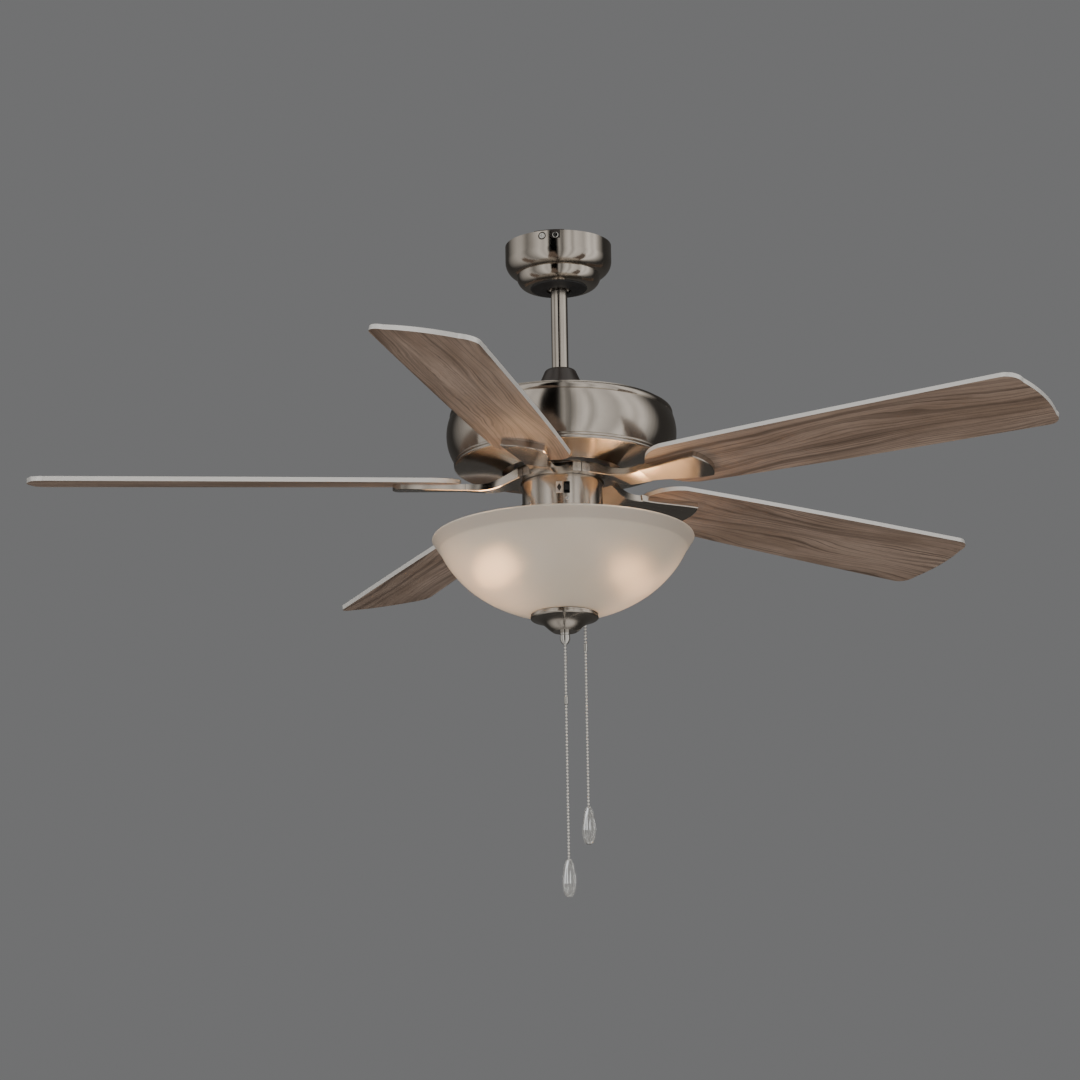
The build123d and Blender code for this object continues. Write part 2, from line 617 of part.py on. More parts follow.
with BuildPart() as blade:
    with BuildSketch(BLADE_PLANE.offset(-BLADE_T / 2)):
        with BuildLine():
            Spline(*LEADING_EDGE)
            Spline(*TRAILING_EDGE)
            ThreePointArc(LEADING_EDGE[0], (BLADE_ROOT_U + 9, -27), (BLADE_ROOT_U, 0))
            ThreePointArc((BLADE_ROOT_U, 0), (BLADE_ROOT_U + 9, 31), TRAILING_EDGE[0])
            ThreePointArc(LEADING_EDGE[-1], (BLADE_TIP_U - 10.5, -57), (BLADE_TIP_U - 6, -42))
            ThreePointArc((BLADE_TIP_U - 6, -42), (BLADE_TIP_U, 2), (BLADE_TIP_U - 6, 46))
            ThreePointArc((BLADE_TIP_U - 6, 46), (BLADE_TIP_U - 10.5, 60.5), TRAILING_EDGE[-1])
        make_face()
        with Locations(*BLADE_SCREWS):
            Circle(BLADE_SCREW_R + CLEAR, mode=Mode.SUBTRACT)
    extrude(amount=BLADE_T)

ARM_STATIONS = (
    # u, middle height, width, thickness, tilt
    (54.0, -306.5, 58.0, 13.0, 0.0),
    (67.0, -311.0, 50.0, 12.0, 2.0),
    (84.0, -317.0, 38.0, 10.0, 6.5),
    (102.0, -319.6, 31.0, 8.6, 10.5),
    (122.0, BLADE_MID_Z - (BLADE_T + ARM_T) / 2 / math.cos(PITCH), 32.0, ARM_T, BLADE_PITCH),
)
PALM_IN_U = 118.0
PALM_OUT_U = 212.0
# the palm under the blade
with BuildPart() as palm:
    with BuildSketch(BLADE_PLANE.offset(-BLADE_T / 2 - ARM_T)):
        with BuildLine():
            Line((PALM_IN_U, -15.6), (PALM_IN_U, 15.6))
            Spline((PALM_IN_U, 15.6), (140, 19), (165, 25.5), (188, 29.5), (203, 30))
            ThreePointArc((203, 30), (PALM_OUT_U, 3), (204, -25))
            Spline((204, -25), (180, -22.5), (150, -18), (PALM_IN_U, -15.6))
        make_face()
    extrude(amount=ARM_T)
    underside = palm.faces().sort_by(Axis((0, 0, 0), BLADE_PLANE.z_dir))[0]
    chamfer(underside.edges(), ARM_EDGE)

with BuildPart() as blade_arm:
    for u, height, width, thickness, tilt in ARM_STATIONS:
        angle = math.radians(tilt)
        section = Plane(
            origin=(u, 0, height),
            x_dir=(0, math.cos(angle), -math.sin(angle)),
            z_dir=(1, 0, 0),
        )
        with BuildSketch(section):
            with BuildLine():
                Polyline(
                    (-width / 2, thickness / 2),
                    (-width / 2, ARM_EDGE - thickness / 2),
                    (ARM_EDGE - width / 2, -thickness / 2),
                    (width / 2 - ARM_EDGE, -thickness / 2),
                    (width / 2, ARM_EDGE - thickness / 2),
                    (width / 2, thickness / 2),
                    close=True,
                )
            make_face()
    loft()
    add(palm.part)
    # one fifth of the hub ring, bolted up to the rotor flange
    with BuildSketch(Plane.XY.offset(HUB_TOP_Z - HUB_H)):
        with BuildLine():
            CenterArc((0, 0), HUB_OUT_R, -HUB_HALF_ANGLE, 2 * HUB_HALF_ANGLE)
            CenterArc((0, 0), HUB_IN_R, -HUB_HALF_ANGLE, 2 * HUB_HALF_ANGLE)
            for side in (-1, 1):
                a = math.radians(side * HUB_HALF_ANGLE)
                Line((HUB_IN_R * math.cos(a), HUB_IN_R * math.sin(a)),
                     (HUB_OUT_R * math.cos(a), HUB_OUT_R * math.sin(a)))
        make_face()
    extrude(amount=HUB_H)
    # nothing of the arm reaches inside the ring
    with BuildSketch(Plane.XY.offset(HUB_TOP_Z - HUB_H - 4)):
        Circle(HUB_IN_R)
    extrude(amount=HUB_H + 8, mode=Mode.SUBTRACT)
    # threaded holes for the hub screws and the blade screws
    with BuildSketch(Plane.XY.offset(HUB_TOP_Z)):
        with PolarLocations(HUB_SCREW_R, 2, -HUB_SCREW_STEP, 2 * HUB_SCREW_STEP, endpoint=True):
            Circle(SCREW_R + CLEAR)
    extrude(amount=-9, mode=Mode.SUBTRACT)
    with BuildSketch(BLADE_PLANE.offset(-BLADE_T / 2)):
        with Locations(*BLADE_SCREWS):
            Circle(BLADE_SCREW_R + CLEAR)
    extrude(amount=-ARM_T + 1.5, mode=Mode.SUBTRACT)

for index in range(BLADE_COUNT):
    azimuth = BLADE_AZIMUTH + index * BLADE_STEP
    with BuildPart() as turned_arm:
        add(blade_arm.part.rotate(Axis.Z, azimuth))
    save(turned_arm, f"blade_arm_{index + 1}")
    with BuildPart() as turned_blade:
        add(blade.part.rotate(Axis.Z, azimuth))
    save(turned_blade, f"blade_{index + 1}")

HUB_SCREW = pan_screw(3.4, 2.2, SCREW_R, HUB_FLANGE_T + 7)
with BuildPart() as arm_screws:
    for index in range(BLADE_COUNT):
        with Locations((0, 0, HUB_TOP_Z + HUB_FLANGE_T)):
            with PolarLocations(HUB_SCREW_R, 2, BLADE_AZIMUTH + BLADE_STEP * index - HUB_SCREW_STEP,
                                2 * HUB_SCREW_STEP, endpoint=True):
                add(HUB_SCREW)
save(arm_screws, "arm_screws")

BLADE_SCREW = pan_screw(4.6, 2.6, BLADE_SCREW_R, BLADE_T + 5.5)
with BuildPart() as blade_screw_set:
    with Locations(BLADE_PLANE.offset(BLADE_T / 2)):
        with Locations(*BLADE_SCREWS):
            add(BLADE_SCREW)
with BuildPart() as blade_screws:
    for index in range(BLADE_COUNT):
        add(blade_screw_set.part.rotate(Axis.Z, BLADE_AZIMUTH + index * BLADE_STEP))
save(blade_screws, "blade_screws")

# ---------------------------------------------------------------- switch housing
SWITCH_WALL = 1.0
REVERSE_SLOT_W = 7.6
REVERSE_SLOT_H = 15.2
with BuildPart() as switch_housing:
    with BuildSketch(Plane.XY.offset(SWITCH_BOTTOM_Z)):
        Circle(SWITCH_R)
    extrude(amount=SWITCH_TOP_Z - SWITCH_BOTTOM_Z)
    fillet(switch_housing.edges().group_by(Axis.Z)[-1], 1.5)
    with BuildSketch(Plane.XY.offset(SWITCH_BOTTOM_Z)):
        Circle(SWITCH_R - SWITCH_WALL)
    extrude(amount=SWITCH_TOP_Z - SWITCH_BOTTOM_Z - 1.5, mode=Mode.SUBTRACT)
    with BuildSketch(Plane.XY.offset(SWITCH_TOP_Z)):
        Circle(SHAFT_R + CLEAR)
    extrude(amount=-3, mode=Mode.SUBTRACT)
    with BuildSketch(radial_plane(REVERSE_ANGLE, SWITCH_R + 1, REVERSE_Z)):
        RectangleRounded(REVERSE_SLOT_W, REVERSE_SLOT_H, 1.0)
        with GridLocations(1, REVERSE_SCREW_PITCH, 1, 2):
            Circle(SMALL_SCREW_R + CLEAR)
    extrude(amount=-4, mode=Mode.SUBTRACT)
    for angle in LOCK_SCREW_ANGLES:
        with BuildSketch(radial_plane(angle, SWITCH_R + 1, LOCK_SCREW_Z)):
            Circle(SMALL_SCREW_R + CLEAR)
        extrude(amount=-4, mode=Mode.SUBTRACT)
save(switch_housing, "switch_housing")

SWITCH_FACE_R = SWITCH_R - SWITCH_WALL - 0.4
REVERSE_GUIDE_W = 6.2
REVERSE_GUIDE_H = 14.2
with BuildPart() as reverse_switch:
    with BuildSketch(radial_plane(REVERSE_ANGLE, SWITCH_FACE_R, REVERSE_Z)):
        Rectangle(11.5, REVERSE_SCREW_PITCH + 8)
    extrude(amount=-1.6)
    with BuildSketch(radial_plane(REVERSE_ANGLE, SWITCH_FACE_R, REVERSE_Z)):
        Rectangle(11.5, 19)
    extrude(amount=-10)
    with BuildSketch(radial_plane(REVERSE_ANGLE, SWITCH_FACE_R, REVERSE_Z)):
        Rectangle(REVERSE_GUIDE_W, REVERSE_GUIDE_H)
    extrude(amount=-5, mode=Mode.SUBTRACT)
    with BuildSketch(radial_plane(REVERSE_ANGLE, SWITCH_FACE_R, REVERSE_Z)):
        with GridLocations(1, REVERSE_SCREW_PITCH, 1, 2):
            Circle(SMALL_SCREW_R + CLEAR)
    extrude(amount=-5, mode=Mode.SUBTRACT)
save(reverse_switch, "reverse_switch")

with BuildPart() as reverse_knob:
    with BuildSketch(radial_plane(REVERSE_ANGLE, SWITCH_FACE_R - 4.6, REVERSE_Z)):
        Rectangle(5.4, 7.0)
    extrude(amount=7.2)
    with BuildSketch(radial_plane(REVERSE_ANGLE, SWITCH_R + 1.6, REVERSE_Z)):
        with GridLocations(1, 2.0, 1, 3):
            Rectangle(8, 0.7)
    extrude(amount=-1.0, mode=Mode.SUBTRACT)
save(reverse_knob, "reverse_knob")

SMALL_SCREW = pan_screw(2.5, 1.2, SMALL_SCREW_R, 4.5)
with BuildPart() as switch_screws:
    with Locations(radial_plane(REVERSE_ANGLE, SWITCH_R, REVERSE_Z)):
        with GridLocations(1, REVERSE_SCREW_PITCH, 1, 2):
            add(SMALL_SCREW)
    for angle in LOCK_SCREW_ANGLES:
        with Locations(radial_plane(angle, SWITCH_R, LOCK_SCREW_Z)):
            add(SMALL_SCREW)
save(switch_screws, "switch_screws")

CAPACITOR_MID_R = 34.0
CAPACITOR_ANGLE = 97.0
CAPACITOR_SIZE = (16.0, 38.0, 26.0)
CAPACITOR_BOTTOM_Z = -340.0
with BuildPart() as capacitor:
    with BuildSketch(Plane.XY.offset(CAPACITOR_BOTTOM_Z)):
        with PolarLocations(CAPACITOR_MID_R, 1, CAPACITOR_ANGLE):
            RectangleRounded(CAPACITOR_SIZE[0], CAPACITOR_SIZE[1], 2)
    extrude(amount=CAPACITOR_SIZE[2])
save(capacitor, "capacitor")

# ---------------------------------------------------------------- light kit
CUP_R = SWITCH_R - SWITCH_WALL - 0.3
CUP_WALL = 1.2
CUP_TOP_Z = -352.0
CUP_FLOOR_Z = -386.0
CUP_FLOOR_T = 1.6
LUG_W = 14.0
ARM_R = 25.8
ARM_SHEET = 1.6
ARM_W = 20.0

with BuildPart() as light_kit_plate:
    with BuildSketch(Plane.XY.offset(CUP_FLOOR_Z)):
        Circle(CUP_R)
    extrude(amount=CUP_TOP_Z - CUP_FLOOR_Z)
    with BuildSketch(Plane.XY.offset(CUP_FLOOR_Z + CUP_FLOOR_T)):
        Circle(CUP_R - CUP_WALL)
    extrude(amount=CUP_TOP_Z - CUP_FLOOR_Z, mode=Mode.SUBTRACT)
    # three lugs reach up to the lock screws
    with BuildSketch(Plane.XY.offset(CUP_TOP_Z - 2)):
        with PolarLocations(CUP_R, 3, LOCK_SCREW_ANGLES[0]):
            Rectangle(12, LUG_W)
        Circle(CUP_R, mode=Mode.INTERSECT)
        Circle(CUP_R - CUP_WALL, mode=Mode.SUBTRACT)
    extrude(amount=LOCK_SCREW_Z + 6 - CUP_TOP_Z + 2)
    for angle in LOCK_SCREW_ANGLES:
        with BuildSketch(radial_plane(angle, SWITCH_R, LOCK_SCREW_Z)):
            Circle(SMALL_SCREW_R + CLEAR)
        extrude(amount=-5, mode=Mode.SUBTRACT)
    # two arms hang from the floor and hold the sockets
    for angle in LAMP_ANGLES:
        with BuildSketch(radial_plane(angle, ARM_R, (CUP_FLOOR_Z + LAMP_Z - 13) / 2)):
            RectangleRounded(ARM_W, CUP_FLOOR_Z - LAMP_Z + 13 + 2, 0.8)
        extrude(amount=ARM_SHEET)
    with BuildSketch(Plane.XY.offset(CUP_FLOOR_Z - 1)):
        Circle(CENTER_ROD_R + CLEAR)
        with Locations((FAN_CHAIN_X, FAN_CHAIN_Y)):
            Circle(CHAIN_R + 1.2)
    extrude(amount=CUP_FLOOR_T + 2, mode=Mode.SUBTRACT)
save(light_kit_plate, "light_kit_plate")

FAN_SWITCH_Z = -377.0
FAN_SWITCH_R = 10.5
FAN_SWITCH_H = 20.0
FAN_SWITCH_CAP_R = 6.0
FAN_SWITCH_CAP_H = 4.0
SWITCH_WELL_R = CHAIN_R + 0.6
SWITCH_WELL_H = 12.0
with BuildPart() as fan_switch:
    with BuildSketch(Plane.XY.offset(FAN_SWITCH_Z)):
        with Locations((FAN_CHAIN_X, FAN_CHAIN_Y)):
            Circle(FAN_SWITCH_R)
    extrude(amount=FAN_SWITCH_H)
    with BuildSketch(Plane.XY.offset(FAN_SWITCH_Z + FAN_SWITCH_H)):
        with Locations((FAN_CHAIN_X, FAN_CHAIN_Y)):
            Circle(FAN_SWITCH_CAP_R)
    extrude(amount=FAN_SWITCH_CAP_H)
    # the chain goes up into the switch
    with BuildSketch(Plane.XY.offset(FAN_SWITCH_Z)):
        with Locations((FAN_CHAIN_X, FAN_CHAIN_Y)):
            Circle(SWITCH_WELL_R)
    extrude(amount=SWITCH_WELL_H, mode=Mode.SUBTRACT)
save(fan_switch, "fan_switch")

LIGHT_SWITCH_Z = -371.0
LIGHT_SWITCH_SIZE = (24.0, 18.0, 20.0)
with BuildPart() as light_switch:
    with BuildSketch(Plane.XY.offset(LIGHT_SWITCH_Z)):
        RectangleRounded(LIGHT_SWITCH_SIZE[0], LIGHT_SWITCH_SIZE[1], 2)
    extrude(amount=LIGHT_SWITCH_SIZE[2])
    with BuildSketch(Plane.XY.offset(LIGHT_SWITCH_Z)):
        Circle(SWITCH_WELL_R)
    extrude(amount=SWITCH_WELL_H, mode=Mode.SUBTRACT)
save(light_switch, "light_switch")

GLASS_IN = SOCKET_OUT + 0.8
SOCKET_BORE_R = 6.8
SOCKET_DEPTH = 26.0
BASE_R = 5.9
BASE_IN_R = 4.8
TIP_R = 2.5
TIP_U = 36.0                     # the lamp base's contact, inside the socket
GLASS_T = 1.2
GLASS_NECK_R = 6.6
GLASS_SHOULDER_R = 8.4
GLASS_SWELL = (72.5, 17.0)
for index, angle in enumerate(LAMP_ANGLES, start=1):
    a = math.radians(angle)
    lamp_axis = Axis((0, 0, LAMP_Z), (math.cos(a), math.sin(a), 0))
    lamp_plane = Plane(origin=(0, 0, LAMP_Z), x_dir=(math.cos(a), math.sin(a), 0),
                       z_dir=(math.sin(a), -math.cos(a), 0))
    with BuildPart() as lamp_socket:
        with BuildSketch(radial_plane(angle, SOCKET_IN, LAMP_Z)):
            Circle(SOCKET_R)
        extrude(amount=SOCKET_OUT - SOCKET_IN)
        with BuildSketch(radial_plane(angle, SOCKET_OUT, LAMP_Z)):
            Circle(SOCKET_BORE_R)
        extrude(amount=-SOCKET_DEPTH, mode=Mode.SUBTRACT)
        chamfer(lamp_socket.edges().filter_by(GeomType.CIRCLE).sort_by(lamp_axis)[-2:], 0.6)
    save(lamp_socket, f"lamp_socket_{index}")
    with BuildPart() as lamp_base:
        with BuildSketch(lamp_plane):
            with BuildLine():
                Polyline(
                    (TIP_U, 0),
                    (TIP_U, TIP_R),
                    (TIP_U + 2, BASE_R),
                    (GLASS_IN, BASE_R),
                    (GLASS_IN, BASE_IN_R),
                    (TIP_U + 4, BASE_IN_R),
                    (TIP_U + 4, 0),
                    close=True,
                )
            make_face()
        revolve(axis=lamp_axis)
    save(lamp_base, f"lamp_base_{index}")
    neck_u = GLASS_IN + 0.1
    shoulder_u = GLASS_IN + 4
    with BuildPart() as bulb:
        with BuildSketch(lamp_plane):
            with BuildLine():
                Line((neck_u, GLASS_NECK_R), (shoulder_u, GLASS_SHOULDER_R))
                Spline((shoulder_u, GLASS_SHOULDER_R), GLASS_SWELL, (GLOBE_U, GLOBE_R),
                       tangents=((1, 0.5), (1, 0)))
                CenterArc((GLOBE_U, 0), GLOBE_R, 0, 90)
                Line((GLOBE_U + GLOBE_R, 0), (GLOBE_U + GLOBE_R - GLASS_T, 0))
                CenterArc((GLOBE_U, 0), GLOBE_R - GLASS_T, 0, 90)
                Spline((shoulder_u, GLASS_SHOULDER_R - GLASS_T),
                       (GLASS_SWELL[0], GLASS_SWELL[1] - GLASS_T), (GLOBE_U, GLOBE_R - GLASS_T),
                       tangents=((1, 0.5), (1, 0)))
                Line((neck_u, GLASS_NECK_R - GLASS_T), (shoulder_u, GLASS_SHOULDER_R - GLASS_T))
                Line((neck_u, GLASS_NECK_R - GLASS_T), (neck_u, GLASS_NECK_R))
            make_face()
        revolve(axis=lamp_axis)
    save(bulb, f"bulb_{index}")

ROD_PIPE_TOP_Z = -379.5
ROD_PIPE_BOTTOM_Z = -512.0
with BuildPart() as center_rod:
    with BuildSketch(Plane.XY.offset(ROD_PIPE_BOTTOM_Z)):
        Circle(CENTER_ROD_R)
        Circle(CENTER_ROD_BORE_R, mode=Mode.SUBTRACT)
    extrude(amount=ROD_PIPE_TOP_Z - ROD_PIPE_BOTTOM_Z)
    chamfer(center_rod.edges().filter_by(GeomType.CIRCLE).group_by(Axis.Z)[0], 0.5)
save(center_rod, "center_rod")

WASHER_TOP_Z = -485.3
WASHER_T = 2.0
NUT_T = 4.0
SHAFT_NUT_T = 6.0
with BuildPart() as hex_nuts:
    with BuildSketch(Plane.XY.offset(SWITCH_TOP_Z - 1.6 - SHAFT_NUT_T)):
        RegularPolygon(14, 6)
        Circle(SHAFT_R + CLEAR, mode=Mode.SUBTRACT)
    extrude(amount=SHAFT_NUT_T)
    for level in (CUP_FLOOR_Z + CUP_FLOOR_T + 0.05, CUP_FLOOR_Z - NUT_T - 0.05,
                  WASHER_TOP_Z - WASHER_T - NUT_T - 0.05):
        with BuildSketch(Plane.XY.offset(level)):
            RegularPolygon(8.2, 6)
            Circle(CENTER_ROD_R + CLEAR, mode=Mode.SUBTRACT)
        extrude(amount=NUT_T)
save(hex_nuts, "hex_nuts")

with BuildPart() as bowl_washer:
    with BuildSketch(Plane.XY.offset(WASHER_TOP_Z - WASHER_T)):
        Circle(14)
        Circle(CENTER_ROD_R + CLEAR, mode=Mode.SUBTRACT)
    extrude(amount=WASHER_T)
save(bowl_washer, "bowl_washer")

# ---------------------------------------------------------------- glass bowl
LIP_FOOT_OUT_Z = -400.0
LIP_FOOT_IN_Z = -399.0


def ellipse_angle(z, half_height):
    """Angle below the horizontal of the bowl ellipse's point at height z, in degrees."""
    return math.degrees(math.asin((BOWL_EQUATOR_Z - z) / half_height))


def ellipse_radius(z, half_width, half_height):
    """Radius of the bowl ellipse at height z."""
    return half_width * math.cos(math.radians(ellipse_angle(z, half_height)))


IN_R = BOWL_ELLIPSE_R - BOWL_T
IN_H = BOWL_ELLIPSE_H - BOWL_T
OUT_ANGLE = ellipse_angle(LIP_FOOT_OUT_Z, BOWL_ELLIPSE_H)
IN_ANGLE = ellipse_angle(LIP_FOOT_IN_Z, IN_H)
with BuildPart() as glass_bowl:
    with BuildSketch(Plane.XZ):
        with BuildLine():
            EllipticalCenterArc((0, BOWL_EQUATOR_Z), BOWL_ELLIPSE_R, BOWL_ELLIPSE_H,
                                270, arc_size=90 - OUT_ANGLE)
            EllipticalCenterArc((0, BOWL_EQUATOR_Z), IN_R, IN_H,
                                270, arc_size=90 - IN_ANGLE)
            Line((0, BOWL_EQUATOR_Z - BOWL_ELLIPSE_H), (0, BOWL_EQUATOR_Z - IN_H))
            Polyline(
                (ellipse_radius(LIP_FOOT_OUT_Z, BOWL_ELLIPSE_R, BOWL_ELLIPSE_H), LIP_FOOT_OUT_Z),
                (BOWL_RIM_R, BOWL_RIM_Z - 2.2),
                (BOWL_RIM_R - 0.6, BOWL_RIM_Z - 0.6),
                (BOWL_RIM_R - 1.8, BOWL_RIM_Z),
                (BOWL_RIM_R - 3.4, BOWL_RIM_Z - 0.6),
                (BOWL_RIM_R - 4.0, BOWL_RIM_Z - 2.0),
                (ellipse_radius(LIP_FOOT_IN_Z, IN_R, IN_H), LIP_FOOT_IN_Z),
            )
        make_face()
    revolve(axis=Axis.Z)
    with BuildSketch(Plane.XY.offset(BOWL_EQUATOR_Z - BOWL_ELLIPSE_H - 2)):
        Circle(CENTER_ROD_R + 0.6)
        with Locations((FAN_CHAIN_X, FAN_CHAIN_Y)):
            Circle(CHAIN_R + 1.6)
    extrude(amount=14, mode=Mode.SUBTRACT)
save(glass_bowl, "glass_bowl")

# ---------------------------------------------------------------- finial
FINIAL_BRIM_Z = FINIAL_TOP_Z - 5.6
FINIAL_WALL = 1.4
FINIAL_FLARE = (
    (41.0, FINIAL_BRIM_Z - 0.4), (33.5, -489.6), (27.5, -492.8), (21.5, -498.2),
    (16.0, FINIAL_BOTTOM_Z + 0.6),
)
with BuildPart() as finial_cap:
    with BuildSketch(Plane.XZ):
        with BuildLine():
            Spline(*FINIAL_FLARE)
            Polyline(
                FINIAL_FLARE[0],
                (FINIAL_R, FINIAL_BRIM_Z + 0.8),
                (FINIAL_R, FINIAL_TOP_Z - 2.6),
                (FINIAL_R - 0.7, FINIAL_TOP_Z - 2.0),
                (FINIAL_R - 0.3, FINIAL_TOP_Z - 0.6),
                (FINIAL_R - 0.9, FINIAL_TOP_Z - 0.1),
                (FINIAL_R - 2.0, FINIAL_TOP_Z - 0.4),
                (FINIAL_R - 2.0, FINIAL_BRIM_Z + 1.4),
                (FINIAL_FLARE[0][0] - 2.0, FINIAL_FLARE[0][1] + FINIAL_WALL),
            )
            Spline((FINIAL_FLARE[0][0] - 2.0, FINIAL_FLARE[0][1] + FINIAL_WALL),
                   *[(r - 0.9, z + FINIAL_WALL) for r, z in FINIAL_FLARE[1:-1]],
                   (FINIAL_FLARE[-1][0] - 1.6, FINIAL_BOTTOM_Z + FINIAL_WALL))
            Polyline(
                (FINIAL_FLARE[-1][0] - 1.6, FINIAL_BOTTOM_Z + FINIAL_WALL),
                (CENTER_ROD_R + CLEAR, FINIAL_BOTTOM_Z + FINIAL_WALL),
                (CENTER_ROD_R + CLEAR, FINIAL_BOTTOM_Z),
                (FINIAL_FLARE[-1][0] - 0.8, FINIAL_BOTTOM_Z),
                FINIAL_FLARE[-1],
            )
        make_face()
    revolve(axis=Axis.Z)
    with BuildSketch(Plane.XY.offset(FINIAL_BOTTOM_Z)):
        with Locations((FAN_CHAIN_X, FAN_CHAIN_Y)):
            Circle(CHAIN_R + 1.2)
    extrude(amount=22, mode=Mode.SUBTRACT)
save(finial_cap, "finial_cap")

with BuildPart() as finial_knob:
    with BuildSketch(Plane.XZ):
        with BuildLine():
            Line((CENTER_ROD_R + CLEAR, FINIAL_BOTTOM_Z - 0.1), (KNOB_R, FINIAL_BOTTOM_Z - 0.1))
            Line((KNOB_R, FINIAL_BOTTOM_Z - 0.1), (KNOB_R, FINIAL_BOTTOM_Z - 3.0))
            ThreePointArc((KNOB_R, FINIAL_BOTTOM_Z - 3.0), (KNOB_R - 0.7, FINIAL_BOTTOM_Z - 4.0),
                          (KNOB_R, FINIAL_BOTTOM_Z - 5.0))
            Line((KNOB_R, FINIAL_BOTTOM_Z - 5.0), (KNOB_R, FINIAL_BOTTOM_Z - 9.5))
            ThreePointArc((KNOB_R, FINIAL_BOTTOM_Z - 9.5), (KNOB_R - 0.9, FINIAL_BOTTOM_Z - 12.2),
                          (KNOB_R - 3.2, KNOB_BOTTOM_Z))
            Polyline(
                (KNOB_R - 3.2, KNOB_BOTTOM_Z),
                (CHAIN_R + 0.6, KNOB_BOTTOM_Z),
                (CHAIN_R + 0.6, ROD_PIPE_BOTTOM_Z - 0.4),
                (CENTER_ROD_R + CLEAR, ROD_PIPE_BOTTOM_Z - 0.4),
                (CENTER_ROD_R + CLEAR, FINIAL_BOTTOM_Z - 0.1),
            )
        make_face()
    revolve(axis=Axis.Z)
save(finial_knob, "finial_knob")

# ---------------------------------------------------------------- pull chains
COUPLING_L = 10.0
CHAIN_END_L = 4.0                # the chain's end inside the pendant
LIGHT_SLEEVE_Z = -585.0
FAN_SLEEVE_Z = -513.5
CHAIN_TOP_FAN_Z = -368.0
CHAIN_TOP_LIGHT_Z = -362.0


def chain_tube(x, y, top_z, end_z):
    """The straight hanging chain, as the tube that its beads fill."""
    with BuildPart() as tube:
        with BuildSketch(Plane.XY.offset(end_z - CHAIN_END_L)):
            with Locations((x, y)):
                Circle(CHAIN_R)
        extrude(amount=top_z - end_z + CHAIN_END_L)
    return tube


def chain_coupling(x, y, top_z):
    """Sleeve that joins two lengths of bead chain."""
    with BuildPart() as sleeve:
        with BuildSketch(Plane.XY.offset(top_z - COUPLING_L)):
            with Locations((x, y)):
                Circle(CHAIN_R + 0.8)
        extrude(amount=COUPLING_L)
        chamfer(sleeve.edges().group_by(Axis.Z)[-1], 0.5)
        chamfer(sleeve.edges().group_by(Axis.Z)[0], 0.5)
        with BuildSketch(Plane.XY.offset(top_z)):
            with Locations((x, y)):
                Circle(CHAIN_R + 0.05)
        extrude(amount=-COUPLING_L, mode=Mode.SUBTRACT)
    return sleeve


# share of the height from the top, share of the largest radius
PENDANT_PROFILE = ((0, 0.48), (0.15, 0.68), (0.3, 0.84), (0.6, 1.0), (0.75, 0.97), (0.88, 0.8), (1.0, 0.46))
FLUTES = 6
FLUTE_R = 2.0
FLUTE_H = 34.0


def pendant(x, y, top_z):
    """Fluted tulip pendant; the chain's end sits in the hole in its neck."""
    side = [(PENDANT_R * wide, -PENDANT_H * deep) for deep, wide in PENDANT_PROFILE]
    drop_plane = Plane(origin=(x, y, top_z), x_dir=(1, 0, 0), z_dir=(0, -1, 0))
    with BuildPart() as tulip:
        with BuildSketch(drop_plane):
            with BuildLine():
                Line((0, 0), side[0])
                Spline(*side)
                Line(side[-1], (0, -PENDANT_H))
                Line((0, -PENDANT_H), (0, 0))
            make_face()
        revolve(axis=Axis((x, y, top_z), (0, 0, 1)))
        with BuildSketch(Plane.XY.offset(top_z - PENDANT_H - 1)):
            with Locations((x, y)):
                with PolarLocations(PENDANT_R + 0.35 * FLUTE_R, FLUTES, 180 / FLUTES):
                    Circle(FLUTE_R)
        extrude(amount=FLUTE_H, mode=Mode.SUBTRACT)
        with BuildSketch(Plane.XY.offset(top_z)):
            with Locations((x, y)):
                Circle(CHAIN_R + 0.05)
        extrude(amount=-CHAIN_END_L - 0.2, mode=Mode.SUBTRACT)
    return tulip


save(chain_tube(0, 0, CHAIN_TOP_LIGHT_Z, LIGHT_CHAIN_END_Z), "light_chain")
save(chain_coupling(0, 0, LIGHT_SLEEVE_Z), "light_chain_coupling")
save(pendant(0, 0, LIGHT_CHAIN_END_Z), "light_pendant")
save(chain_tube(FAN_CHAIN_X, FAN_CHAIN_Y, CHAIN_TOP_FAN_Z, FAN_CHAIN_END_Z), "fan_chain")
save(chain_coupling(FAN_CHAIN_X, FAN_CHAIN_Y, FAN_SLEEVE_Z), "fan_chain_coupling")
save(pendant(FAN_CHAIN_X, FAN_CHAIN_Y, FAN_CHAIN_END_Z), "fan_pendant")
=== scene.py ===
"""Looks, lights and camera for the ceiling fan with a bowl light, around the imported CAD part."""
import json
import math

import bmesh
import bpy
from mathutils import Matrix, Vector


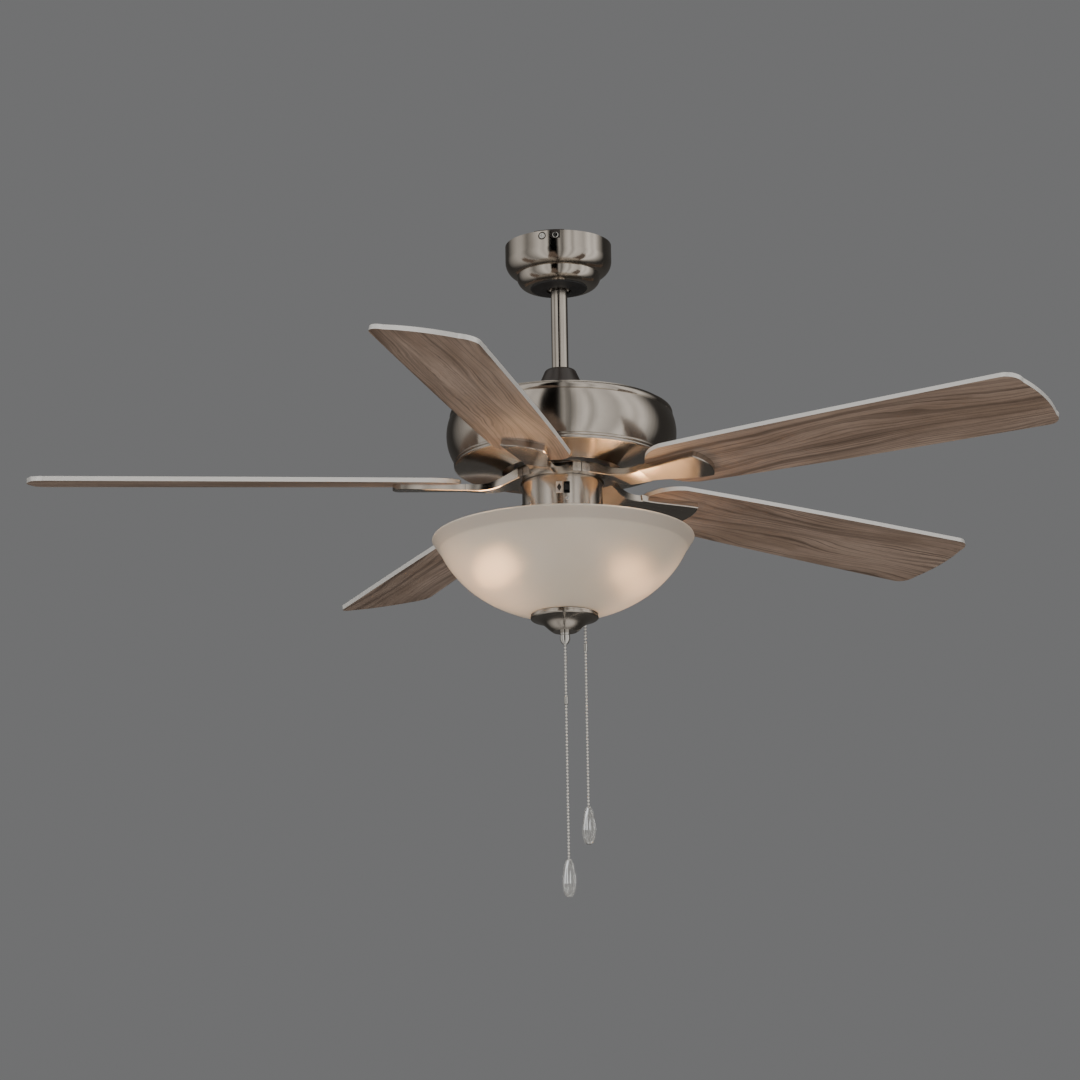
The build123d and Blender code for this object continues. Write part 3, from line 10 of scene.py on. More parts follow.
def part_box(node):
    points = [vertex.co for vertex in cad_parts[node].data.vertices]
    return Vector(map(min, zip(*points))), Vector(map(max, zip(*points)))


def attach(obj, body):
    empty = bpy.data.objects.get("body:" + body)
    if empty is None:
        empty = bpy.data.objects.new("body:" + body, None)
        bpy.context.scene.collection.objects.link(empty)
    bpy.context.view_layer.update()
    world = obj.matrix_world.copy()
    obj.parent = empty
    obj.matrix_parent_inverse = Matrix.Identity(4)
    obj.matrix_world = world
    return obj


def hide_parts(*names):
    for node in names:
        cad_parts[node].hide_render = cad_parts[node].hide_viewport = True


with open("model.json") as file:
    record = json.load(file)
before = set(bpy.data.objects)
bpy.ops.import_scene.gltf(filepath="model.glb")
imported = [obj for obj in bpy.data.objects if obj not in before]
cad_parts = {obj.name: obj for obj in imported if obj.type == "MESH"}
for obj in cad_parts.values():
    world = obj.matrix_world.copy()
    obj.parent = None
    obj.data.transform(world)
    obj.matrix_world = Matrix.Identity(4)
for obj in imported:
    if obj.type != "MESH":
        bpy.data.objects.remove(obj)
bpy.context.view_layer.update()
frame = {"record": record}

# ---------------------------------------------------------------- camera
CAMERA_PLACE = (-0.0290, -5.289, -1.7786)
CAMERA_TILT_UP = 14.76          # degrees above level
CAMERA_ROLL = -0.93             # degrees
CAMERA_LENS = 146.5             # mm, as the sensor width is
SENSOR_WIDTH = 36.0
CAMERA_CLIP = (0.1, 60.0)


def make_camera():
    """The camera stands below the fan and in front of it, and looks up at it along +Y."""
    data = bpy.data.cameras.new("camera")
    data.sensor_width = SENSOR_WIDTH
    data.lens = CAMERA_LENS
    data.clip_start, data.clip_end = CAMERA_CLIP
    camera = bpy.data.objects.new("camera", data)
    bpy.context.scene.collection.objects.link(camera)
    aim = Matrix.Rotation(math.radians(90 + CAMERA_TILT_UP), 4, "X")
    roll = Matrix.Rotation(math.radians(CAMERA_ROLL), 4, "Z")
    camera.matrix_world = Matrix.Translation(CAMERA_PLACE) @ aim @ roll
    bpy.context.scene.camera = camera


make_camera()


# ---------------------------------------------------------------- mesh helpers
def new_object(name, bm, body, material, smooth=True):
    """Turn a bmesh into a piece that rides on a body and has one material."""
    mesh = bpy.data.meshes.new(name)
    bmesh.ops.recalc_face_normals(bm, faces=bm.faces)
    bm.to_mesh(mesh)
    bm.free()
    for polygon in mesh.polygons:
        polygon.use_smooth = smooth
    piece = bpy.data.objects.new(name, mesh)
    bpy.context.scene.collection.objects.link(piece)
    mesh.materials.append(material)
    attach(piece, body)
    return piece


def box_of(*nodes):
    """Lowest and highest corner of one or more CAD nodes together."""
    boxes = [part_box(node) for node in nodes]
    low = Vector([min(b[0][i] for b in boxes) for i in range(3)])
    high = Vector([max(b[1][i] for b in boxes) for i in range(3)])
    return low, high


# ---------------------------------------------------------------- shader helpers
class NodeTree:
    """Short ways to add nodes to a tree and join them."""

    def __init__(self, tree):
        self.tree = tree

    def node(self, kind, **settings):
        made = self.tree.nodes.new(kind)
        for key, value in settings.items():
            setattr(made, key, value)
        return made

    def feed(self, socket, value):
        """Set a socket to a number or colour, or link an output to it."""
        if isinstance(value, bpy.types.NodeSocket):
            self.tree.links.new(value, socket)
        else:
            socket.default_value = value

    def turned(self, vector, turn):
        """A vector as seen from a frame that is turned by these angles."""
        made = self.node("ShaderNodeMapping", vector_type="TEXTURE")
        self.feed(made.inputs["Vector"], vector)
        made.inputs["Rotation"].default_value = turn
        return made.outputs["Vector"]

    def place(self, turn=(0, 0, 0)):
        """Position on the object in metres, in a turned frame."""
        return self.turned(self.node("ShaderNodeTexCoord").outputs["Object"], turn)

    def split(self, vector):
        """The X, Y and Z outputs of a vector."""
        made = self.node("ShaderNodeSeparateXYZ")
        self.feed(made.inputs[0], vector)
        return made.outputs

    def noise(self, vector, scale, detail=3.0, roughness=0.55):
        """Smooth noise, scale features to the metre."""
        made = self.node("ShaderNodeTexNoise")
        self.feed(made.inputs["Vector"], vector)
        self.feed(made.inputs["Scale"], scale)
        self.feed(made.inputs["Detail"], detail)
        self.feed(made.inputs["Roughness"], roughness)
        return made.outputs["Fac"]

    def math(self, operation, first, second=0.0):
        made = self.node("ShaderNodeMath", operation=operation)
        self.feed(made.inputs[0], first)
        self.feed(made.inputs[1], second)
        return made.outputs[0]

    def vector_math(self, operation, first, second=None):
        made = self.node("ShaderNodeVectorMath", operation=operation)
        self.feed(made.inputs[0], first)
        if second is not None:
            self.feed(made.inputs[1], second)
        return made.outputs["Value"] if operation in ("LENGTH", "DISTANCE") else made.outputs[0]

    def spread(self, value, low, high, from_low=0.0, from_high=1.0, smooth=False):
        """Map a value's range onto another range."""
        made = self.node("ShaderNodeMapRange")
        if smooth:
            made.interpolation_type = "SMOOTHSTEP"
        self.feed(made.inputs["Value"], value)
        self.feed(made.inputs["From Min"], from_low)
        self.feed(made.inputs["From Max"], from_high)
        self.feed(made.inputs["To Min"], low)
        self.feed(made.inputs["To Max"], high)
        return made.outputs["Result"]

    def mix(self, factor, first, second):
        made = self.node("ShaderNodeMix", data_type="RGBA")
        self.feed(made.inputs["Factor"], factor)
        self.feed(made.inputs["A"], self.rgba(first))
        self.feed(made.inputs["B"], self.rgba(second))
        return made.outputs["Result"]

    @staticmethod
    def rgba(colour):
        """A colour of three numbers gets its alpha."""
        return (*colour, 1.0) if isinstance(colour, tuple) and len(colour) == 3 else colour


class Shader(NodeTree):
    """One procedural material: a Principled shader with nodes in front of it."""

    def __init__(self, name, **inputs):
        self.material = bpy.data.materials.new(name)
        self.material.use_nodes = True
        super().__init__(self.material.node_tree)
        self.principled = self.tree.nodes["Principled BSDF"]
        for socket, value in inputs.items():
            self.principled.inputs[socket.replace("_", " ")].default_value = value

    def set(self, name, value):
        self.feed(self.principled.inputs[name], value)

    def bump(self, height, distance, strength=1.0):
        made = self.node("ShaderNodeBump")
        self.feed(made.inputs["Height"], height)
        self.feed(made.inputs["Distance"], distance)
        self.feed(made.inputs["Strength"], strength)
        self.set("Normal", made.outputs["Normal"])

    def lathe_lines(self, fineness):
        """Noise that is the same all the way round Z, like the lines on a spun shell."""
        flat = self.vector_math("MULTIPLY", self.place(), (1.0, 1.0, 0.0))
        radius = self.vector_math("LENGTH", flat)
        joined = self.node("ShaderNodeCombineXYZ")
        self.feed(joined.inputs["X"], radius)
        self.feed(joined.inputs["Z"], self.split(self.place())["Z"])
        return self.noise(joined.outputs[0], fineness, detail=2.0, roughness=0.7)


NICKEL = (0.64, 0.59, 0.53)
NICKEL_SHADE = (0.54, 0.49, 0.435)


def brushed_nickel():
    """Satin nickel plate on spun steel: fine turning lines, smudges and a slight colour drift."""
    s = Shader("brushed_nickel", Metallic=1.0, Anisotropic=0.9, Anisotropic_Rotation=0.25)
    tangent = s.node("ShaderNodeTangent", direction_type="RADIAL", axis="Z")
    s.set("Tangent", tangent.outputs["Tangent"])
    lines = s.lathe_lines(1600.0)
    smudges = s.noise(s.place(), 14.0, detail=4.0, roughness=0.6)
    s.set("Base Color", s.mix(s.spread(smudges, 0.0, 1.0, 0.3, 0.75), NICKEL, NICKEL_SHADE))
    rough = s.math("ADD", s.spread(smudges, 0.13, 0.21, 0.3, 0.7), s.spread(lines, -0.03, 0.03))
    s.set("Roughness", rough)
    s.bump(lines, 0.00003, 0.25)
    return s.material


def cast_nickel():
    """Satin nickel plate on cast blade arms: softer, with a faint orange-peel from the casting."""
    s = Shader("cast_nickel", Metallic=1.0)
    peel = s.noise(s.place(), 260.0, detail=2.0, roughness=0.5)
    smudges = s.noise(s.place(), 18.0, detail=4.0, roughness=0.6)
    s.set("Base Color", s.mix(s.spread(smudges, 0.0, 1.0, 0.3, 0.75), NICKEL, NICKEL_SHADE))
    s.set("Roughness", s.spread(smudges, 0.11, 0.19, 0.3, 0.7))
    s.bump(peel, 0.00004, 0.2)
    return s.material


def polished(name, colour, rough_low, rough_high, grain=300.0, depth=0.00003):
    """A bright metal with fine handling marks."""
    s = Shader(name, Metallic=1.0)
    marks = s.noise(s.place(), grain, detail=3.0, roughness=0.65)
    cloud = s.noise(s.place(), grain * 0.12, detail=2.0)
    shade = tuple(c * 0.82 for c in colour)
    s.set("Base Color", s.mix(s.spread(cloud, 0.0, 1.0, 0.35, 0.7), colour, shade))
    s.set("Roughness", s.spread(marks, rough_low, rough_high, 0.35, 0.65))
    s.bump(marks, depth, 0.4)
    return s.material


BEAD_BRIGHT = (0.93, 0.92, 0.89)
BEAD_TARNISH = (0.74, 0.72, 0.67)


def bead_nickel():
    """Nickel plated chain balls: bright, with a soft sheen and a little tarnish."""
    s = Shader("bead_nickel", Metallic=0.7)
    tarnish = s.noise(s.place(), 700.0, detail=2.0)
    s.set("Base Color", s.mix(s.spread(tarnish, 0.0, 1.0, 0.4, 0.7), BEAD_BRIGHT, BEAD_TARNISH))
    s.set("Roughness", s.spread(tarnish, 0.22, 0.36))
    s.bump(tarnish, 0.00002, 0.3)
    return s.material


def matte(name, colour, rough_low, rough_high, grain=420.0, depth=0.00012, speckle=0.25, **inputs):
    """Moulded plastic, rubber or paint: a fine stipple, a little colour drift, worn shine."""
    s = Shader(name, **inputs)
    stipple = s.noise(s.place(), grain, detail=3.0, roughness=0.7)
    cloud = s.noise(s.place(), 30.0, detail=3.0)
    lighter = tuple(min(1.0, c * (1.0 + speckle) + 0.006) for c in colour)
    s.set("Base Color", s.mix(s.spread(cloud, 0.0, 1.0, 0.35, 0.68), colour, lighter))
    s.set("Roughness", s.spread(cloud, rough_low, rough_high, 0.35, 0.65))
    s.bump(stipple, depth, 0.5)
    return s.material


def laminations():
    """Stacked steel sheets: fine level lines."""
    s = Shader("lamination_steel", Metallic=1.0)
    wave = s.node("ShaderNodeTexWave", wave_type="BANDS", bands_direction="Z")
    s.feed(wave.inputs["Vector"], s.place())
    wave.inputs["Scale"].default_value = 320.0
    wave.inputs["Distortion"].default_value = 0.4
    s.set("Base Color", s.mix(wave.outputs["Fac"], (0.20, 0.19, 0.18), (0.38, 0.37, 0.36)))
    s.set("Roughness", s.spread(s.noise(s.place(), 60.0), 0.35, 0.55))
    s.bump(wave.outputs["Fac"], 0.0001, 0.6)
    return s.material


def windings():
    """Enamelled copper wire, wound round the teeth."""
    s = Shader("copper", Metallic=0.9, Coat_Weight=0.4, Coat_Roughness=0.2)
    wave = s.node("ShaderNodeTexWave", wave_type="RINGS", rings_direction="SPHERICAL")
    s.feed(wave.inputs["Vector"], s.place())
    wave.inputs["Scale"].default_value = 400.0
    wave.inputs["Distortion"].default_value = 1.5
    s.set("Base Color", s.mix(wave.outputs["Fac"], (0.36, 0.13, 0.05), (0.72, 0.34, 0.15)))
    s.set("Roughness", s.spread(s.noise(s.place(), 120.0), 0.25, 0.42))
    s.bump(wave.outputs["Fac"], 0.0002, 0.8)
    return s.material


WOOD_BASE = (0.212, 0.149, 0.112)
WOOD_PALE = (0.325, 0.243, 0.195)
WOOD_DARK = (0.066, 0.044, 0.033)
EDGE_SILVER = (0.80, 0.79, 0.77)
BLADE_PITCH = math.radians(12.0)
BLADES = 5
FIRST_BLADE_AZIMUTH = math.radians(184.0)


def blade_wood(name, azimuth, seed):
    """Grey-brown oak print along the blade, pale silver edge band, under a satin varnish."""
    s = Shader(name, Specular_IOR_Level=0.4, Coat_Weight=0.08, Coat_Roughness=0.35)
    turn = (-BLADE_PITCH, 0.0, azimuth)
    # each blade is cut from another stretch of the same print
    board = s.split(s.vector_math("ADD", s.place(turn), (seed * 3.7, seed * 1.3, 0.0)))

    def grain(along_scale, across_scale, across, detail, roughness=0.6):
        """Noise stretched along the blade; across is the position over its width."""
        joined = s.node("ShaderNodeCombineXYZ")
        s.feed(joined.inputs["X"], s.math("MULTIPLY", board["X"], along_scale))
        s.feed(joined.inputs["Y"], s.math("MULTIPLY", across, across_scale))
        return s.noise(joined.outputs[0], 1.0, detail, roughness)

    # the lines bend round slow swells of the figure, which makes the cathedrals and knots
    swell = s.spread(grain(2.8, 10.0, board["Y"], 1.0), -0.04, 0.04)
    ripple = s.spread(grain(16.0, 45.0, board["Y"], 2.0), -0.003, 0.003)
    across = s.math("ADD", board["Y"], s.math("ADD", swell, ripple))
    bands = grain(1.2, 90.0, across, 3.0)
    lines = grain(3.0, 420.0, across, 4.0)
    pores = grain(45.0, 1500.0, across, 2.0)
    patches = grain(4.0, 14.0, board["Y"], 3.0)
    colour = s.mix(s.spread(patches, 0.0, 1.0, 0.38, 0.62), WOOD_BASE, WOOD_PALE)
    colour = s.mix(s.spread(bands, 0.0, 0.75, 0.46, 0.68), colour, WOOD_DARK)
    colour = s.mix(s.spread(lines, 0.0, 0.8, 0.5, 0.66), colour, WOOD_DARK)
    colour = s.mix(s.spread(pores, 0.0, 0.6, 0.56, 0.7), colour, WOOD_DARK)
    # the edge band is wherever the surface faces neither up nor down
    facing = s.turned(s.node("ShaderNodeTexCoord").outputs["Normal"], turn)
    flatness = s.math("ABSOLUTE", s.split(facing)["Z"])
    edge = s.spread(flatness, 1.0, 0.0, 0.45, 0.75)
    colour = s.mix(edge, colour, EDGE_SILVER)
    s.set("Base Color", colour)
    s.set("Metallic", s.math("MULTIPLY", edge, 0.35))
    s.set("Roughness", s.math("ADD", s.spread(lines, 0.38, 0.52), s.math("MULTIPLY", edge, -0.1)))
    s.bump(s.math("ADD", pores, lines), 0.00006, 0.5)
    return s.material


BULB_CENTRES = [sum(box_of(f"bulb_{i}"), Vector()) / 2 for i in (1, 2)]
# painted glow on the bowl glass: its colour, its reach round each bulb and its strength
GLOW = (1.0, 0.62, 0.37)
GLOW_NEAR = 0.045               # distances from a bulb's centre, in metres
GLOW_FAR = 0.115
GLOW_STRENGTH = 0.22
GLOW_EVERYWHERE = 0.015
LIP_H = 0.0165                  # the straight band under the bowl's rim, painted darker: painted shade from the pan above it
RIDGE_H = 0.0028                # the rounded edge at the top of that band, painted bright: a painted highlight
CREAM_GLASS = (0.80, 0.75, 0.665)
CREAM_SHADE = (0.75, 0.695, 0.61)
# painted shade: colour of the band under the rim, darker than the glass
LIP_PAINTED_SHADE = (0.62, 0.575, 0.515)
# painted highlight: colour of the rounded edge at the top of the rim band
RIDGE_PAINTED_HIGHLIGHT = (0.90, 0.87, 0.80)


def frosted_glass():
    """Cream frosted glass; its warm spots are painted glow (emission round each bulb), the band
    under the rim painted shade, its edge a painted highlight.
    """
    s = Shader(
        "frosted_glass", Coat_Weight=0.15, Coat_Roughness=0.1, IOR=1.4, Transmission_Weight=0.46
    )
    cloud = s.noise(s.place(), 11.0, detail=4.0, roughness=0.5)
    fine = s.noise(s.place(), 900.0, detail=2.0)
    height = s.split(s.place())["Z"]
    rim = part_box("glass_bowl")[1][2]
    # painted shade: the band under the rim is painted darker, standing in for the pan's shade
    lip_shade_mask = s.spread(height, 0.0, 1.0, rim - LIP_H, rim - LIP_H + 0.002)
    # painted highlight: a thin line along the rim's rounded edge is painted brighter
    ridge_highlight_mask = s.spread(height, 0.0, 1.0, rim - RIDGE_H, rim - RIDGE_H + 0.001)
    glass = s.mix(s.spread(cloud, 0.0, 1.0, 0.3, 0.7), CREAM_GLASS, CREAM_SHADE)
    glass = s.mix(lip_shade_mask, glass, LIP_PAINTED_SHADE)
    s.set("Base Color", s.mix(ridge_highlight_mask, glass, RIDGE_PAINTED_HIGHLIGHT))
    s.set("Roughness", s.spread(cloud, 0.36, 0.44, 0.3, 0.7))
    # painted glow: emission on the glass round each bulb's centre stands in for the bulbs' light
    # coming through it, plus a faint painted glow all over
    glow = 0.0
    for centre in BULB_CENTRES:
        distance = s.vector_math("DISTANCE", s.place(), tuple(centre))
        near = s.spread(distance, 1.0, 0.0, GLOW_NEAR, GLOW_FAR, smooth=True)
        glow = s.math("ADD", glow, s.math("POWER", near, 2.0))
    s.set("Emission Color", (*GLOW, 1.0))
    glow = s.math("MULTIPLY", glow, GLOW_STRENGTH)
    s.set("Emission Strength", s.math("ADD", glow, GLOW_EVERYWHERE))
    s.bump(fine, 0.00002, 0.3)
    return s.material


BULB_LIGHT = (1.0, 0.52, 0.23)
BULB_LIGHT_PALE = (1.0, 0.62, 0.33)


def bulb_glass():
    """Frosted lamp globe, switched on: its light is a little uneven."""
    s = Shader("bulb_glass", Roughness=0.3, IOR=1.5)
    cloud = s.noise(s.place(), 40.0, detail=2.0)
    s.set("Base Color", (0.9, 0.85, 0.75, 1.0))
    s.set("Emission Color", s.mix(cloud, BULB_LIGHT, BULB_LIGHT_PALE))
    s.set("Emission Strength", s.spread(cloud, 12.0, 15.0))
    return s.material


def clear_acrylic():
    """Clear moulded acrylic with a light haze."""
    s = Shader("clear_acrylic", Transmission_Weight=0.86, IOR=1.49)
    haze = s.noise(s.place(), 220.0, detail=2.0)
    s.set("Base Color", s.mix(haze, (0.90, 0.92, 0.92), (0.97, 0.98, 0.98)))
    s.set("Roughness", s.spread(haze, 0.05, 0.12))
    s.bump(haze, 0.00005, 0.2)
    return s.material


def label_print():
    """A plain pale sticker with a dark diamond in its middle."""
    s = Shader("label_print", Roughness=0.45)
    low, high = LABEL_BOX
    centre = (low + high) / 2
    offset = s.split(s.vector_math("SUBTRACT", s.place(), tuple(centre)))
    across = s.math("ABSOLUTE", s.math("DIVIDE", offset["X"], (high.x - low.x) / 2))
    upward = s.math("ABSOLUTE", s.math("DIVIDE", offset["Z"], (high.z - low.z) / 2))
    reach = s.math("ADD", across, upward)
    inside = s.spread(reach, 1.0, 0.0, DIAMOND_REACH, DIAMOND_REACH + 0.08)
    paper = s.noise(s.place(), 700.0, detail=3.0)
    pale = s.mix(paper, (0.50, 0.49, 0.47), (0.60, 0.59, 0.57))
    s.set("Base Color", s.mix(inside, pale, (0.02, 0.02, 0.022)))
    s.bump(paper, 0.00003, 0.3)
    return s.material


# ---------------------------------------------------------------- pull chains
BEAD_R = 0.0016
BEAD_PITCH = 0.0041
LINK_R = 0.0003
ROUTE_POINTS = 7
HIDDEN_RUN = 0.012              # the beads begin this far inside the piece that they leave
INTO_PENDANT = 0.003            # and end this far inside the pendant's top


def nurbs_line(points):
    """Points along the smooth NURBS line that has the given control points."""
    curve = bpy.data.curves.new("route", "CURVE")
    curve.dimensions = "3D"
    curve.resolution_u = 24
    spline = curve.splines.new("NURBS")
    spline.points.add(len(points) - 1)
    for control, point in zip(spline.points, points):
        control.co = (*point, 1.0)
    spline.order_u = 3
    spline.use_endpoint_u = True
    holder = bpy.data.objects.new("route", curve)
    bpy.context.scene.collection.objects.link(holder)
    bpy.context.view_layer.update()
    mesh = bpy.data.meshes.new_from_object(holder)
    line = [v.co.copy() for v in mesh.vertices]
    bpy.data.objects.remove(holder)
    bpy.data.curves.remove(curve)
    bpy.data.meshes.remove(mesh)
    return line


def walk(line, step):
    """Points a constant distance apart along a line of points."""
    found = [line[0].copy()]
    wanted = step
    done = 0.0
    for start, end in zip(line, line[1:]):
        length = (end - start).length
        while wanted <= done + length:
            found.append(start.lerp(end, (wanted - done) / length))
            wanted += step
        done += length
    return found


def bead_chain(name, node, route, body, material):
    """Ball chain: hollow beads, joined by short links, along a NURBS route."""
    line = nurbs_line(route)
    beads = walk(line, BEAD_PITCH)
    bm = bmesh.new()
    for bead in beads:
        bmesh.ops.create_uvsphere(
            bm, u_segments=16, v_segments=10, radius=BEAD_R, matrix=Matrix.Translation(bead)
        )
    for first, second in zip(beads, beads[1:]):
        middle = (first + second) / 2
        aim = (second - first).to_track_quat("Z", "Y").to_matrix().to_4x4()
        bmesh.ops.create_cone(
            bm, cap_ends=True, segments=8, radius1=LINK_R, radius2=LINK_R,
            depth=(second - first).length, matrix=Matrix.Translation(middle) @ aim,
        )
    chain = new_object(name, bm, body, material)
    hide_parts(node)
    length = sum((b - a).length for a, b in zip(line, line[1:]))
    return chain, line, length


def chain_route(x, y, top, bottom):
    """A chain hangs straight down under the weight of its pendant."""
    step = (bottom - top) / (ROUTE_POINTS - 1)
    return [(x, y, top + i * step) for i in range(ROUTE_POINTS)]


FLUTES = 8
POINTS_PER_FLUTE = 8
# share of the height from the top, share of the radius, depth of the flutes
PENDANT_PROFILE = (
    (0.000, 0.26, 0.00), (0.012, 0.40, 0.00), (0.050, 0.48, 0.03), (0.150, 0.66, 0.10),
    (0.300, 0.83, 0.15), (0.450, 0.94, 0.17), (0.600, 0.99, 0.18), (0.750, 0.96, 0.18),
    (0.860, 0.83, 0.17), (0.930, 0.66, 0.14), (0.975, 0.52, 0.10), (0.995, 0.40, 0.05),
)


def pendant(name, node, body, material):
    """Fluted pendant drop: a collar, a fluted body that narrows to its foot, and a rounded end."""
    low, high = (Vector(c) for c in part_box(node))
    centre = (low + high) / 2
    height = high.z - low.z
    radius = (high.x - low.x) / 2
    around = FLUTES * POINTS_PER_FLUTE
    bm = bmesh.new()
    rings = []
    for share, wide, depth in PENDANT_PROFILE:
        ring = []
        for i in range(around):
            angle = 2 * math.pi * i / around
            scallop = 1.0 - depth * (1.0 - abs(math.cos(angle * FLUTES / 2)))
            r = radius * wide * scallop
            x = centre.x + r * math.cos(angle)
            y = centre.y + r * math.sin(angle)
            ring.append(bm.verts.new((x, y, high.z - share * height)))
        rings.append(ring)
    for upper, lower in zip(rings, rings[1:]):
        for i in range(around):
            j = (i + 1) % around
            bm.faces.new((upper[i], upper[j], lower[j], lower[i]))
    bm.faces.new(rings[0])
    tip = bm.verts.new((centre.x, centre.y, low.z))
    for i in range(around):
        bm.faces.new((rings[-1][i], rings[-1][(i + 1) % around], tip))
    piece = new_object(name, bm, body, material)
    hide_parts(node)
    return piece


# ---------------------------------------------------------------- switch label
LABEL_WIDTH = 0.0082
LABEL_HEIGHT = 0.0148
LABEL_THICK = 0.00015
LABEL_GAP = 0.0001              # keeps the sticker clear of the housing
LABEL_STEPS = 8
DIAMOND_REACH = 0.66            # as a share of the label's half width plus half height
LABEL_ANGLE = math.radians(-94.8)
LABEL_Z = (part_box("reverse_knob")[0][2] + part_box("reverse_knob")[1][2]) / 2
LABEL_R = (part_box("switch_housing")[1][0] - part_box("switch_housing")[0][0]) / 2
label_centre = Vector((LABEL_R * math.cos(LABEL_ANGLE), LABEL_R * math.sin(LABEL_ANGLE), LABEL_Z))
label_half = Vector((LABEL_WIDTH / 2, 0.001, LABEL_HEIGHT / 2))
LABEL_BOX = (label_centre - label_half, label_centre + label_half)


def label_patch(material):
    """Small sticker on the switch housing, beside the reverse switch, bent to the housing."""
    radius = LABEL_R + LABEL_GAP
    bm = bmesh.new()
    corners = []
    for thickness in (0.0, LABEL_THICK):
        for i in range(LABEL_STEPS + 1):
            angle = LABEL_ANGLE + (i / LABEL_STEPS - 0.5) * LABEL_WIDTH / radius
            r = radius + thickness
            for z in (LABEL_Z - LABEL_HEIGHT / 2, LABEL_Z + LABEL_HEIGHT / 2):
                corners.append(bm.verts.new((r * math.cos(angle), r * math.sin(angle), z)))
    bmesh.ops.convex_hull(bm, input=corners)
    return new_object("switch_label", bm, "drop", material, smooth=False)


# ---------------------------------------------------------------- materials on the CAD nodes
nickel = brushed_nickel()
arm_nickel = cast_nickel()
bright = polished("nickel_hardware", (0.74, 0.73, 0.70), 0.08, 0.18)
zinc = polished("zinc_steel", (0.55, 0.56, 0.57), 0.24, 0.40, grain=160.0)
acrylic = clear_acrylic()
ball_nickel = bead_nickel()

SLOT_MATERIALS = {
    "brushed_nickel": nickel,
    "nickel_hardware": bright,
    "zinc_steel": zinc,
    "hanger_ball_zinc": polished("hanger_ball_zinc", (0.42, 0.42, 0.42), 0.30, 0.45, grain=120.0),
    "cast_aluminium": polished(
        "cast_aluminium", (0.60, 0.61, 0.62), 0.42, 0.60, grain=380.0, depth=0.0002
    ),
    "lamination_steel": laminations(),
    "dark_bronze": matte(
        "dark_bronze", (0.022, 0.017, 0.015), 0.30, 0.42, speckle=0.5, Coat_Weight=0.3
    ),
    "black_plastic": matte("black_plastic", (0.018, 0.018, 0.019), 0.42, 0.56, speckle=0.5),
    "socket_porcelain": matte(
        "socket_porcelain", (0.76, 0.74, 0.69), 0.12, 0.22, speckle=0.05, Coat_Weight=0.5
    ),
    "frosted_glass": frosted_glass(),
    "bulb_glass": bulb_glass(),
    "clear_acrylic": acrylic,
    "copper": windings(),
    "rubber": matte("rubber", (0.03, 0.03, 0.03), 0.60, 0.80, speckle=0.4),
}
BLADE_AZIMUTHS = {
    f"blade_{i + 1}": FIRST_BLADE_AZIMUTH + i * 2 * math.pi / BLADES for i in range(BLADES)
}


def cover(node, material):
    """Give every face of a CAD node one material."""
    piece = bpy.data.objects[node]
    for entry in piece.material_slots:
        entry.link = "OBJECT"
        entry.material = material


for part in frame["record"]["subparts"]:
    node = part["node"]
    if node in BLADE_AZIMUTHS:
        cover(node, blade_wood(f"{node}_wood", BLADE_AZIMUTHS[node], int(node[-1])))
    elif node.startswith("blade_arm"):
        cover(node, arm_nickel)
    else:
        cover(node, SLOT_MATERIALS[part["material_slot"]])

# ---------------------------------------------------------------- chains, pendants, label
label_patch(label_print())
# each chain, and the piece whose underside it leaves
CHAINS = {"light": "finial_knob", "fan": "switch_housing"}
for which, exit_piece in CHAINS.items():
    body = f"{which}_pull"
    axis = sum(box_of(f"{which}_chain"), Vector()) / 2
    drop_high = box_of(f"{which}_pendant")[1]
    exit_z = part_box(exit_piece)[0][2]
    drop_piece = pendant(f"{which}_pull_pendant", f"{which}_pendant", body, acrylic)
    route = chain_route(axis.x, axis.y, exit_z + HIDDEN_RUN, drop_high.z - INTO_PENDANT)
    chain, line, length = bead_chain(
        f"{which}_bead_chain", f"{which}_chain", route, body, ball_nickel
    )


# ---------------------------------------------------------------- stage and light
FLOOR_Z = -2.6
FLOOR_SIZE = 14.0


def make_floor():
    bm = bmesh.new()
    bmesh.ops.create_grid(bm, x_segments=1, y_segments=1, size=FLOOR_SIZE / 2)
    bmesh.ops.translate(bm, verts=bm.verts, vec=(0, 0, FLOOR_Z))
    mesh = bpy.data.meshes.new("floor")
    bm.to_mesh(mesh)
    bm.free()
    floor = bpy.data.objects.new("floor", mesh)
    floor.visible_glossy = False
    bpy.context.scene.collection.objects.link(floor)
    s = Shader("floor_paint", Roughness=0.6)
    cloud = s.noise(s.place(), 1.2)
    s.set("Base Color", s.mix(cloud, (0.74, 0.73, 0.71), (0.79, 0.78, 0.76)))
    mesh.materials.append(s.material)


def softbox(name, place, size, watts, colour=(1, 1, 1), aim=(0, 0, -0.33)):
    """Area light that faces the fan. Metal doesn't show it: the room has the reflections."""
    data = bpy.data.lights.new(name, "AREA")
    data.shape = "RECTANGLE"
    data.size, data.size_y = size
    data.energy = watts
    data.color = colour
    lamp = bpy.data.objects.new(name, data)
    bpy.context.scene.collection.objects.link(lamp)
    lamp.location = place
    lamp.rotation_euler = (Vector(aim) - Vector(place)).to_track_quat("-Z", "Y").to_euler()
    lamp.visible_camera = False
    lamp.visible_glossy = False


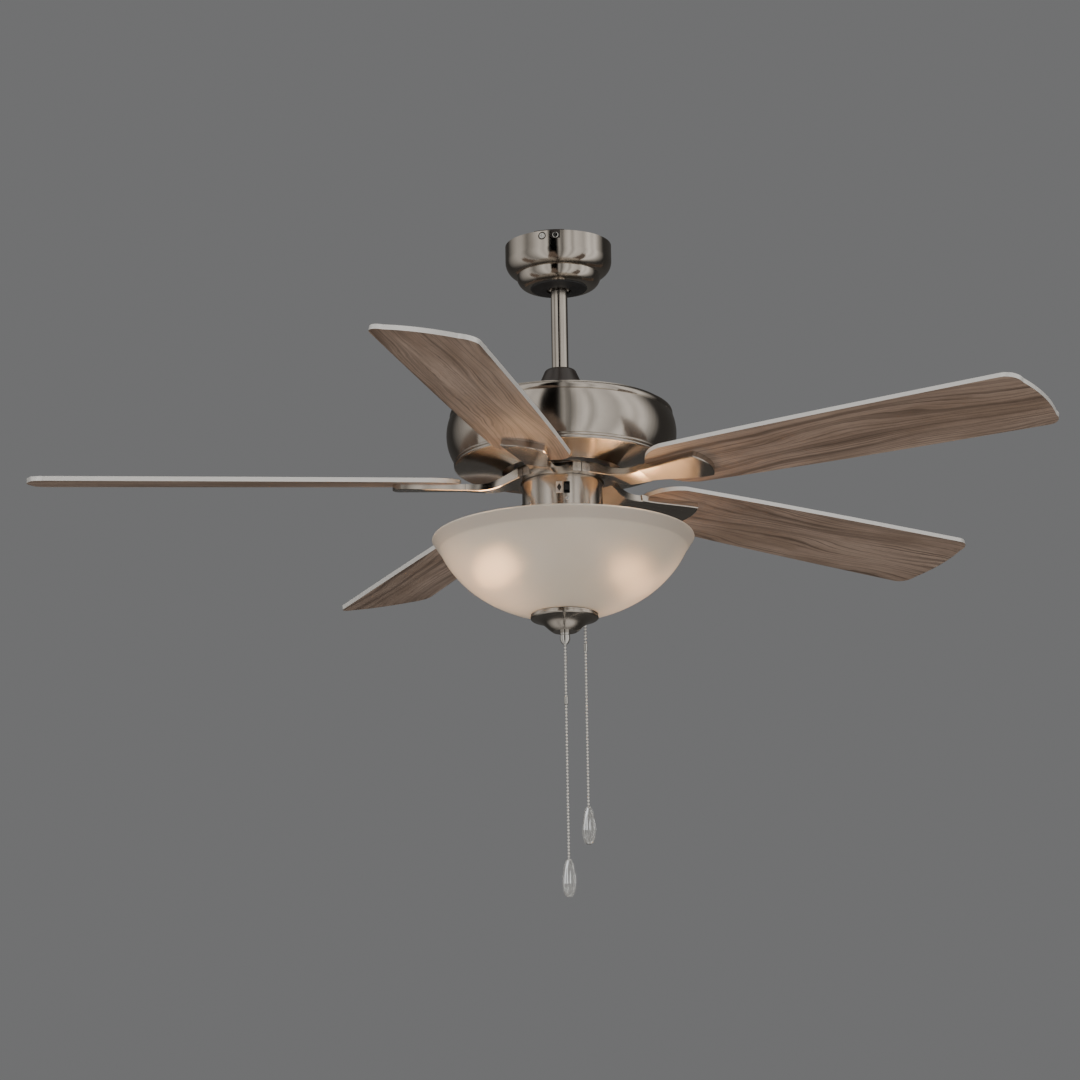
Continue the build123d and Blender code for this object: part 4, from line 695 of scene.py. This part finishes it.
# azimuth in degrees (0 towards the camera, positive to the right) and brightness of the room
# there: tall windows and pale walls with dark openings between them
ROOM = (
    (-180, 0.07), (-140, 0.04), (-115, 0.36), (-100, 0.56), (-88, 0.56), (-72, 0.22), (-58, 0.45),
    (-42, 0.82), (-33, 0.60), (-24, 0.78), (-20, 0.0), (-3, 0.0), (2, 0.50), (9, 0.14), (16, 0.62),
    (24, 0.90), (31, 0.45), (38, 0.84), (58, 0.55), (70, 1.05), (78, 0.72), (87, 0.98), (98, 0.45),
    (114, 0.04), (180, 0.07),
)
ROOM_TINT = (1.0, 0.97, 0.925)
BACKDROP = (0.165, 0.166, 0.168, 1.0)


def make_world():
    """A room that varies only round the compass, and a plain grey backdrop behind the fan."""
    world = bpy.data.worlds.new("studio")
    world.use_nodes = True
    w = NodeTree(world.node_tree)
    direction = w.split(w.node("ShaderNodeTexCoord").outputs["Generated"])
    toward_camera = w.math("MULTIPLY", direction["Y"], -1.0)
    azimuth = w.math("ARCTAN2", direction["X"], toward_camera)
    ramp = w.node("ShaderNodeValToRGB")
    w.feed(ramp.inputs["Fac"], w.spread(azimuth, 0.0, 1.0, -math.pi, math.pi))
    stops = ramp.color_ramp.elements
    tint = Vector(ROOM_TINT)
    for stop, (angle, bright) in zip((stops[0], stops[1]), (ROOM[0], ROOM[-1])):
        stop.position = (angle + 180) / 360
        stop.color = (*(tint * bright), 1.0)
    for angle, bright in ROOM[1:-1]:
        stops.new((angle + 180) / 360).color = (*(tint * bright), 1.0)
    seen = w.node("ShaderNodeLightPath").outputs["Is Camera Ray"]
    background = w.tree.nodes["Background"]
    w.feed(background.inputs["Color"], w.mix(seen, ramp.outputs["Color"], BACKDROP))
    bpy.context.scene.world = world


make_floor()
make_world()
softbox("window_left", (-3.4, -1.8, -0.5), (0.8, 2.6), 36.0, (1.0, 0.98, 0.95))
softbox("window_right", (3.2, -1.2, -0.5), (0.6, 2.6), 14.0, (1.0, 0.98, 0.95))
softbox("window_back", (1.0, 3.4, -0.8), (1.6, 1.6), 9.0, (0.97, 0.98, 1.0))
softbox("floor_bounce", (0.0, -0.8, -2.4), (3.0, 2.4), 32.0, (1.0, 0.95, 0.89))
softbox("ceiling_front", (-0.4, -2.6, 1.5), (3.0, 1.4), 34.0, (1.0, 0.99, 0.97))
